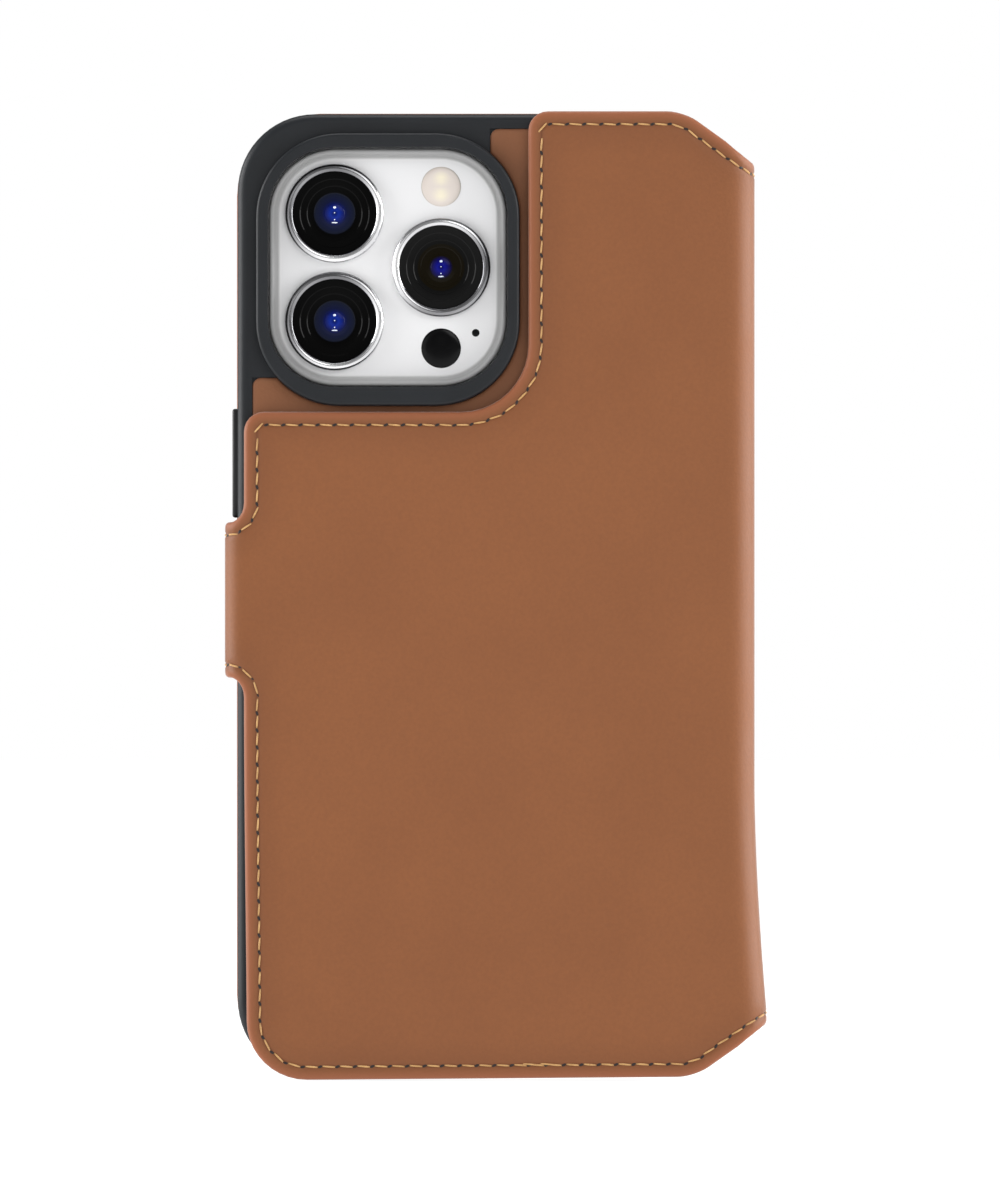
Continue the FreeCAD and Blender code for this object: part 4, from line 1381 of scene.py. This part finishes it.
@dataclass
class Wallet:
    """The outer leather, linings, stitching and hidden stiffeners.

    Attributes:
        nodes: Every CAD node.
        skin: The strip's leather and lining.
        lock_low: Where the doubled stitches that end the seam start, past the back panel's edge.
        lock_high: Where they end.
        proud: How far the doubled stitches stand above the seam.
        sunk: How deep the seam lies in the leather.
    """

    nodes: Nodes
    skin: CaseSkin = field(default_factory=CaseSkin)
    lock_low: float = 39.5
    lock_high: float = 45.0
    proud: float = 0.05
    sunk: float = 0.1

    def __post_init__(self) -> None:
        """Splits the strip where one piece meets the next."""
        line = self.skin.strip
        root = line.panel - 0.02
        self.panels = [
            Panel("tab_end", -1.0, line.tab_middle, ("tab_side", "tab_end"), 1, True,
                  ("tab_tip_leather", "tab_end_leather"), ("tab_tip_lining", "tab_end_backing"),
                  ("tab_end_seam",), Look.INNER),
            Panel("tab_side", line.tab_middle, root, ("back_panel", "tab_side"), 3, True,
                  ("tab_root_leather", "tab_side_leather"),
                  ("tab_root_lining", "tab_side_lining"), ("tab_side_seam",)),
            Panel("back", root, line.spine_middle, ("back_panel", "spine"), 5, False,
                  ("back_leather", "rear_fold_leather", "spine_leather"),
                  ("back_lining", "rear_fold_lining", "spine_lining"),
                  ("back_seam", "spine_seam")),
            Panel("front", line.spine_middle, line.end + 1.0, ("spine", "front_cover"), 7, False,
                  ("front_fold_leather", "front_leather"), ("front_fold_lining", "front_lining"),
                  ("front_seam",)),
        ]

    def cross(self, piece: bpy.types.Object, panel: Panel, depth: float = 0.0) -> None:
        """Bakes a piece's transform into its mesh; its panel's joint is found, but the piece is not
        bent over it.

        Args:
            piece: The piece.
            panel: The part of the strip that it belongs to.
            depth: How far behind the outer face it lies.
        """
        part = self.skin.strip.stretches[panel.fold]
        ends = [self.skin.strip.place(u, depth) for u in (part.start, part.start + part.length)]
        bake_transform(piece)

    def settle_board(self, name: str, body: str, place: Callable[[float], float]) -> None:
        """Builds a board that leans with the leather round it.

        Args:
            name: The board's CAD node.
            body: What it rides on.
            place: Gives the place along the strip for a place along X.
        """
        mesh = from_node(name, self.nodes)
        for level in range(4, 64, 4):
            cut(mesh, Vector((0, 0, level)), UP)
        for vertex in mesh.verts:
            across, lift = self.skin.lean(place(vertex.co.x), vertex.co.z)
            vertex.co += Vector((across, 0, lift))
        finish_piece(f"{name}_core", mesh, Look.BOARD, (name,), body)

    def build(self) -> None:
        """Builds every soft piece of the strip and dresses what lies inside it."""
        skin = self.skin
        hide, inside = skin.hide(), skin.inside()
        sewing = Sewing()
        seam = skin.seam_line()
        for panel in self.panels:
            leather = skin.part_of(hide, panel.low, panel.high)
            skin.fold(leather)
            self.cross(finish_piece(f"{panel.name}_skin", leather, Look.CASE, panel.hides), panel)
            lining = skin.part_of(inside, panel.low, panel.high)
            skin.fold(lining)
            self.cross(finish_piece(f"{panel.name}_inner_skin", lining, panel.lining_look,
                                    panel.linings), panel, skin.leather + skin.lining / 2)
            self.sew(panel, sewing, seam)
        hide.free()
        inside.free()
        line, right = skin.strip, span("back_leather")[1].x
        self.settle_board("back_board", "back_panel", lambda x: line.fold - right + x)
        self.settle_board("spine_board", "spine", lambda x: line.spine_middle)
        self.settle_board("front_board", "front_cover", lambda x: line.cover + right - x)
        for node in ("back_magnets", "clasp_magnet"):
            dress(self.nodes[node], Look.MAGNET)
        dress(self.nodes["clasp_keeper"], Look.STEEL)

    def sew(self, panel: Panel, sewing: Sewing, seam: Seam) -> None:
        """Sews one panel's share of the seam, on the outside and on the inside.

        Args:
            panel: The panel.
            sewing: Makes the stitches.
            seam: Every stitch's place on the whole strip.
        """
        skin, pitch = self.skin, self.skin.stitch
        mine = [(centre, way) for centre, way in seam if panel.low <= centre.x < panel.high]
        lock = [(centre + way * pitch / 2 + Vector((0, -self.proud, 0.14)), way)
                for centre, way in mine
                if centre.z < 3 and self.lock_low < centre.x - skin.strip.panel < self.lock_high]
        outer = [(centre + Vector((0, self.sunk, 0)), way) for centre, way in [*mine, *lock]]
        # Painted shade: a dark bead half a stitch along from each stitch, standing in for the shade
        # in a needle hole.
        hole_shadows = [(centre + way * pitch / 2 + Vector((0, self.sunk + 0.05, 0)), way)
                 for centre, way in mine]
        inner = [(centre + Vector((0, skin.lining_depth(centre.x)
                                   + skin.lining_thickness(centre.x) - 0.02, 0)), way)
                 for centre, way in mine]
        for name, places, part, look, replaced in (
                ("stitches", outer, "stitch", Look.THREAD, panel.seams),
                ("needle_hole_shadows", hole_shadows, "hole", Look.NEEDLE, ()),
                ("inner_stitches", inner, "stitch", Look.THREAD, ())):
            mesh = sewing.run(places, part)
            skin.fold(mesh)
            self.cross(finish_piece(f"{panel.name}_{name}", mesh, look, replaced), panel)


@dataclass
class Pockets:
    """The note pocket and the three card pockets inside the front cover.

    Attributes:
        nodes: Every CAD node.
        seam: How far in from the pockets' edge the seam runs.
        stitch: How far apart its stitches are.
        crease: The pockets' rounded edge and the line creased beside it.
        names: The pockets' CAD nodes, from the cover towards the phone.
    """

    nodes: Nodes
    seam: float = 1.5
    stitch: float = 2.6
    crease: tuple[Flat, ...] = ((0.0, -0.12), (0.1, 0.0), (0.4, 0.0), (0.48, -0.07), (0.6, -0.07),
                                (0.7, 0.0), (0.85, 0.0))
    names: tuple[str, ...] = ("note_pocket", "card_pocket_upper", "card_pocket_middle",
                              "card_pocket_lower")

    def build(self) -> None:
        """Builds the pockets' leathers and the seam that holds them to the cover."""
        levels = []
        for name in self.names:
            low, high = span(name)
            levels.append((high.z, low.y))
            mesh = from_node(name, self.nodes)
            step_in(mesh, self.crease)
            finish_piece(f"{name}_leather", mesh, Look.INNER, (name,), "front_cover", 50.0)
        self.sew(levels)

    def sew(self, levels: Sequence[Flat]) -> None:
        """Sews the pockets down both sides and along the bottom.

        Args:
            levels: Each pocket's upper edge and its visible face's y, tallest first.
        """
        outline = from_node("note_pocket", self.nodes)
        face = plate_face(outline, OUT)
        inset(outline, face, self.seam)
        loop = flat_loop(face)
        outline.free()
        top = levels[0][0] - self.seam - 0.5
        places = []
        for centre, way in spaced(loop, self.stitch):
            if centre.z < top:
                depth = min(y for high, y in levels if centre.z < high)
                places.append((centre + Vector((0, depth + 0.02, 0)), way))
        mesh = Sewing().run(places, "stitch")
        finish_piece("pocket_stitches", mesh, Look.THREAD, body="front_cover")


@dataclass
class Shell:
    """The moulded shell with its leather inlay, steel plate, soft sheet and button caps."""

    nodes: Nodes
    tip_round: float = 1.4
    inlay_edge: tuple[Flat, ...] = ((0.0, -0.22), (0.1, -0.08), (0.3, -0.01), (0.6, 0.02))

    def cut_inlay(self) -> bmesh.types.BMesh:
        """The inlay cut from one flat sheet, with its two tips beside the camera rounded.

        Returns:
            The inlay as a solid.
        """
        low, high = span("shell_inlay")
        source = from_node("shell_inlay", self.nodes)
        mesh = bmesh.new()
        made = [mesh.verts.new(vertex.co) for vertex in plate_face(source, OUT).verts]
        source.free()
        mesh.faces.new(made)
        tips = [vertex for vertex in made
                if vertex.co.z > high.z / 2 and vertex.calc_edge_angle() > math.radians(80)]
        thicken(mesh, round_corners(mesh, tips, self.tip_round, 6), high.y - low.y)
        return mesh

    def build(self) -> None:
        """Dresses the tray and builds what is let into it."""
        dress(self.nodes["shell_tray"], Look.SHELL)
        dress(self.nodes["shell_plate"], Look.STEEL)
        inlay = self.cut_inlay()
        step_in(inlay, self.inlay_edge)
        finish_piece("inlay_leather", inlay, Look.INLAY, ("shell_inlay",), "phone_shell", 50.0)
        soft = from_node("shell_lining", self.nodes)
        finish_piece("soft_sheet", soft, Look.LINING, ("shell_lining",), "phone_shell")
        for name in BUTTONS:
            add_softened(f"{name}_cap_moulding", f"{name}_cap", self.nodes, Look.BUTTON,
                         f"{name}_button", 0.4, 3)


@dataclass
class Phone:
    """The phone that the shell holds, with its camera.

    Attributes:
        nodes: Every CAD node.
        rim: How far the camera plateau's rounded corners reach.
        ring_out: A lens ring's outside radius.
        eye_out: A lens glass's radius.
        sides: How many sides a turned piece has.
        microphone: The microphone hole's x and z.
        border: The plateau's moulded border, from its edge inwards.
        ring: A lens ring's section: radius and height above the plateau.
        eye: A lens glass's section: radius and height above the plateau.
        glints: A lens's small reflections: how far up from its centre, how wide and how tall.
    """

    nodes: Nodes
    rim: float = 10.3
    ring_out: float = 7.7
    eye_out: float = 6.46
    sides: int = 64
    microphone: Flat = (-2.2, 116.5)
    border: tuple[Flat, ...] = (
        (0.0, -0.55), (0.12, -0.3), (0.34, -0.12), (0.62, -0.08), (0.86, -0.16), (1.08, -0.2),
        (1.32, -0.12), (1.55, -0.02), (1.8, 0.0), (2.2, 0.0))
    ring: tuple[Flat, ...] = (
        (7.72, -0.02), (7.72, 0.9), (7.6, 1.18), (7.3, 1.36), (6.95, 1.4), (6.62, 1.28),
        (6.5, 1.1), (6.45, -0.02))
    eye: tuple[Flat, ...] = (
        (0.0, 0.66), (0.55, 0.65), (1.05, 0.6), (1.5, 0.5), (1.62, 0.4), (2.3, 0.36),
        (3.1, 0.36), (3.25, 0.44), (4.2, 0.46), (4.35, 0.56), (5.3, 0.58), (5.45, 0.7),
        (6.46, 0.72), (6.46, 0.0), (0.0, 0.0))
    glints: tuple[tuple[float, float, float], ...] = (
        (0.95, 0.5, 0.42), (0.1, 0.3, 0.3), (-0.95, 0.22, 0.22), (-1.42, 1.0, 0.22))

    def build(self) -> None:
        """Builds the phone's body, keys and camera."""
        add_softened("phone_band", "phone_frame", self.nodes, Look.PHONE, "phone_shell", 0.25)
        dress(self.nodes["phone_back_glass"], Look.BACK_GLASS)
        screen = from_node("phone_screen", self.nodes)
        step_in(screen, ((0.0, -0.2), (0.2, 0.0), (2.0, 0.0), (2.3, 0.0), (3.4, 0.0)), IN)
        finish_piece("screen_glass", screen, Look.SCREEN, ("phone_screen",), "phone_shell")
        for name in BUTTONS:
            add_softened(f"{name}_inner_key", f"{name}_key", self.nodes, Look.PHONE,
                         f"{name}_button", 0.12)
        add_softened("switch_slider", "mute_switch", self.nodes, Look.SWITCH, "ring_switch", 0.2)
        self.build_plateau()
        self.build_lenses()
        self.build_dots()

    def build_plateau(self) -> None:
        """Builds the camera's raised glass with its moulded border."""
        low, high = span("camera_plateau")
        mesh = bmesh.new()
        corners = [mesh.verts.new(place) for place in (
            (low.x, low.y, low.z), (high.x, low.y, low.z), (high.x, low.y, high.z),
            (low.x, low.y, high.z))]
        mesh.faces.new(corners)
        thicken(mesh, round_corners(mesh, corners, self.rim, 14), high.y - low.y)
        step_in(mesh, self.border)
        finish_piece("plateau_glass", mesh, Look.PLATEAU, ("camera_plateau",), "phone_shell", 50.0)

    def turn(self, mesh: bmesh.types.BMesh, centre: Vector, section: Sequence[Flat],
             closed: bool) -> None:
        """Turns a section round an axis that runs out of the back.

        Args:
            mesh: The mesh to add to.
            centre: Where the axis meets the plateau.
            section: Its points, each a radius and a height above the plateau.
            closed: Whether the section closes on itself, as a ring's does.
        """
        made = [mesh.verts.new(centre + Vector((radius, -height, 0)))
                for radius, height in section]
        pairs = list(zip(made, made[1:])) + ([(made[-1], made[0])] if closed else [])
        edges = [mesh.edges.new(pair) for pair in pairs]
        bmesh.ops.spin(mesh, geom=[*made, *edges], cent=centre, axis=IN, angle=2 * math.pi,
                       steps=self.sides, use_merge=True, use_duplicate=False)

    def lens_centres(self) -> list[Vector]:
        """The three lenses' centres on the plateau: upper, lower and side.

        Returns:
            The centres.
        """
        low, high = span("lens_rings")
        face = span("camera_plateau")[0].y
        reach = self.ring_out
        return [Vector((low.x + reach, face, high.z - reach)),
                Vector((low.x + reach, face, low.z + reach)),
                Vector((high.x - reach, face, (low.z + high.z) / 2))]

    def build_lenses(self) -> None:
        """Builds the polished rings and the coated glass inside them."""
        centres = self.lens_centres()
        rings = bmesh.new()
        for centre in centres:
            self.turn(rings, centre, self.ring, True)
        seal(rings)
        # Painted reflections: each ring's colour is lit and shaded by angle, brightest near the
        # angle lead.
        painted_reflection = rings.verts.layers.float.new(PAINTED_REFLECTION)
        for vertex in rings.verts:
            centre = min(centres, key=lambda item: (item - vertex.co).length)
            turn = math.atan2(vertex.co.z - centre.z, vertex.co.x - centre.x)
            lead = 2.6 if centre is centres[2] else -0.8
            vertex[painted_reflection] = 0.5 + 0.34 * math.cos(turn - lead) + 0.16 * math.cos(3 * turn + lead)
        finish_piece("lens_collars", rings, Look.LENS_RING, ("lens_rings",), "phone_shell")
        for name, chosen, look in (("lens_eyes", centres[:2], Look.LENS),
                                   ("lens_eye_side", centres[2:], Look.WARM_LENS)):
            mesh = bmesh.new()
            for centre in chosen:
                self.turn(mesh, centre, self.eye, False)
            seal(mesh)
            layer = mesh.verts.layers.float.new(EDGE)
            for vertex in mesh.verts:
                out = min(math.hypot(vertex.co.x - centre.x, vertex.co.z - centre.z)
                          for centre in chosen)
                vertex[layer] = self.eye_out - out
            finish_piece(name, mesh, look, ("lens_glasses",) if chosen[0] is centres[0] else (),
                         "phone_shell", 3.0)
        glints = bmesh.new()
        for centre in centres:
            for rise, wide, tall in self.glints:
                spot = bmesh.ops.create_uvsphere(glints, u_segments=10, v_segments=6,
                                                 radius=0.5)["verts"]
                bmesh.ops.transform(glints, verts=spot, matrix=Matrix.Translation(
                    centre + Vector((0, -0.58, rise))) @ Matrix.Diagonal((wide, 0.2, tall, 1)))
        finish_piece("lens_glints", glints, Look.GLINT, body="phone_shell")

    def build_dots(self) -> None:
        """Builds the flash, the depth sensor and the microphone hole."""
        face = span("camera_plateau")[0].y
        for name, node, look in (("flash_dome", "camera_flash", Look.FLASH),
                                 ("sensor_dome", "depth_sensor", Look.SENSOR)):
            low, high = span(node)
            centre = Vector(((low.x + high.x) / 2, face, (low.z + high.z) / 2))
            self.dome(name, centre, (high.x - low.x) / 2, 0.22, look, (node,))
        across, up = self.microphone
        self.dome("microphone_mesh", Vector((across, face, up)), 0.6, 0.04, Look.SENSOR, ())

    def dome(self, name: str, centre: Vector, radius: float, height: float, look: Look,
             replaces: Sequence[str]) -> None:
        """Builds one small window that stands on the plateau.

        Args:
            name: What the piece is called.
            centre: Its centre on the plateau.
            radius: Its radius.
            height: How far it stands out.
            look: Its finish.
            replaces: The CAD nodes that it stands for.
        """
        mesh = bmesh.new()
        crown = ((0.0, 1.0), (0.25, 1.0), (0.5, 0.97), (0.7, 0.9), (0.85, 0.75), (0.96, 0.45))
        self.turn(mesh, centre, (*((radius * out, height * up) for out, up in crown),
                                 (radius, 0.0), (radius, -0.1), (0.0, -0.1)), False)
        seal(mesh)
        layer = mesh.verts.layers.float.new(EDGE)
        for vertex in mesh.verts:
            across, up = vertex.co.x - centre.x, vertex.co.z - centre.z
            lobe = math.exp(-(across ** 2 + (abs(up) - radius * 0.42) ** 2) / (radius * 0.36) ** 2)
            vertex[layer] = min(radius - math.hypot(across, up), radius / 3) + lobe * radius * 0.66
        finish_piece(name, mesh, look, replaces, "phone_shell")


# ------------------------------------------------------------------------------- studio


@dataclass(frozen=True)
class Softbox:
    """A large soft light that looks at the case, with sizes in metres and power in watts."""

    name: str
    place: tuple[float, float, float]
    wide: float
    tall: float
    power: float

    def build(self, target: Vector) -> None:
        """Hangs the light.

        Args:
            target: What it looks at.
        """
        data = bpy.data.lights.new(self.name, "AREA")
        data.shape = "RECTANGLE"
        data.size, data.size_y, data.energy = self.wide, self.tall, self.power
        light = add_object(self.name, data)
        light.location = self.place
        light.rotation_euler = (target - light.location).to_track_quat("-Z", "Y").to_euler()


@dataclass(frozen=True)
class Studio:
    """The pale floor, the soft light and the camera, in metres.

    Attributes:
        distance: The camera's distance from the case's back.
        seen_tall: How much the camera sees from top to bottom, at the case's back.
        middle: The x and z that the camera looks at.
        target: What the lights look at.
        sky: How bright the white surroundings light the case.
        glow: How bright the floor is by itself, so that it stays pale.
        lights: The soft lights.
    """

    distance: float = 3.0
    seen_tall: float = 0.1869
    middle: tuple[float, float] = (0.00159, 0.07484)
    target: tuple[float, float, float] = (0.0, 0.0, 0.075)
    sky: float = 0.3
    glow: float = 0.95
    lights: tuple[Softbox, ...] = (
        Softbox("key_softbox", (0.6, -1.6, 0.9), 1.0, 1.0, 8.0),
        Softbox("fill_softbox", (-0.8, -1.5, 0.2), 1.0, 1.0, 2.5),
        Softbox("right_softbox", (1.2, 0.0, 0.25), 1.3, 1.0, 29.0),
        Softbox("left_softbox", (-1.2, -0.05, 0.25), 1.3, 1.0, 25.0),
        Softbox("top_softbox", (0.0, 0.1, 1.3), 1.0, 0.6, 7.0),
    )

    def build(self) -> None:
        """Builds the studio round the case."""
        self.build_surroundings()
        for light in self.lights:
            light.build(Vector(self.target))
        self.build_floor()
        self.build_camera()

    def build_surroundings(self) -> None:
        """Surrounds the case with white, which lights it less brightly than it looks."""
        world = bpy.data.worlds.new("white_tent")
        world.use_nodes = True
        tree = world.node_tree
        background = tree.nodes["Background"]
        background.inputs["Color"].default_value = (1.0, 1.0, 1.0, 1.0)
        seen = tree.nodes.new("ShaderNodeLightPath")
        level = tree.nodes.new("ShaderNodeMapRange")
        level.inputs["To Min"].default_value = self.sky
        level.inputs["To Max"].default_value = 1.0
        tree.links.new(seen.outputs["Is Camera Ray"], level.inputs["Value"])
        tree.links.new(level.outputs["Result"], background.inputs["Strength"])
        bpy.context.scene.world = world
        bpy.context.scene.view_settings.view_transform = "Standard"

    def build_camera(self) -> None:
        """Sets the camera up straight behind the case's back."""
        camera = add_object("camera", bpy.data.cameras.new("camera"))
        camera.data.sensor_fit = "VERTICAL"
        camera.data.sensor_height = 36.0
        camera.data.lens = camera.data.sensor_height * self.distance / self.seen_tall
        camera.data.clip_start, camera.data.clip_end = 0.1, 50.0
        camera.location = (self.middle[0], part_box("back_leather")[0][1] - self.distance,
                           self.middle[1])
        camera.rotation_euler = (math.pi / 2, 0.0, 0.0)
        bpy.context.scene.camera = camera

    def build_floor(self) -> None:
        """Builds the floor, just under the case."""
        mesh = bmesh.new()
        bmesh.ops.create_grid(mesh, x_segments=2, y_segments=2, size=6.0)
        bmesh.ops.translate(mesh, vec=(0, 0, -0.0002), verts=mesh.verts)
        data = bpy.data.meshes.new("pale_floor")
        mesh.to_mesh(data)
        mesh.free()
        mix = Recipe("pale_floor")
        tone = mix.ramp(mix.noise(400.0, 2.0), [(0.3, (136, 136, 136)), (0.7, (140, 140, 140))])
        mix.set(Base_Color=tone, Roughness=0.9, Specular_IOR_Level=0.1,
                Emission_Color=(1.0, 1.0, 1.0, 1.0), Emission_Strength=self.glow)
        data.materials.append(mix.material)
        add_object("pale_floor", data)


def main() -> None:
    """Builds the case and its studio."""
    logging.basicConfig(level=logging.INFO, format="%(message)s")
    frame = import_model()
    nodes = frame["nodes"]
    Wallet(nodes).build()
    Pockets(nodes).build()
    Shell(nodes).build()
    Phone(nodes).build()
    Studio().build()


if __name__ == "__main__":
    main()
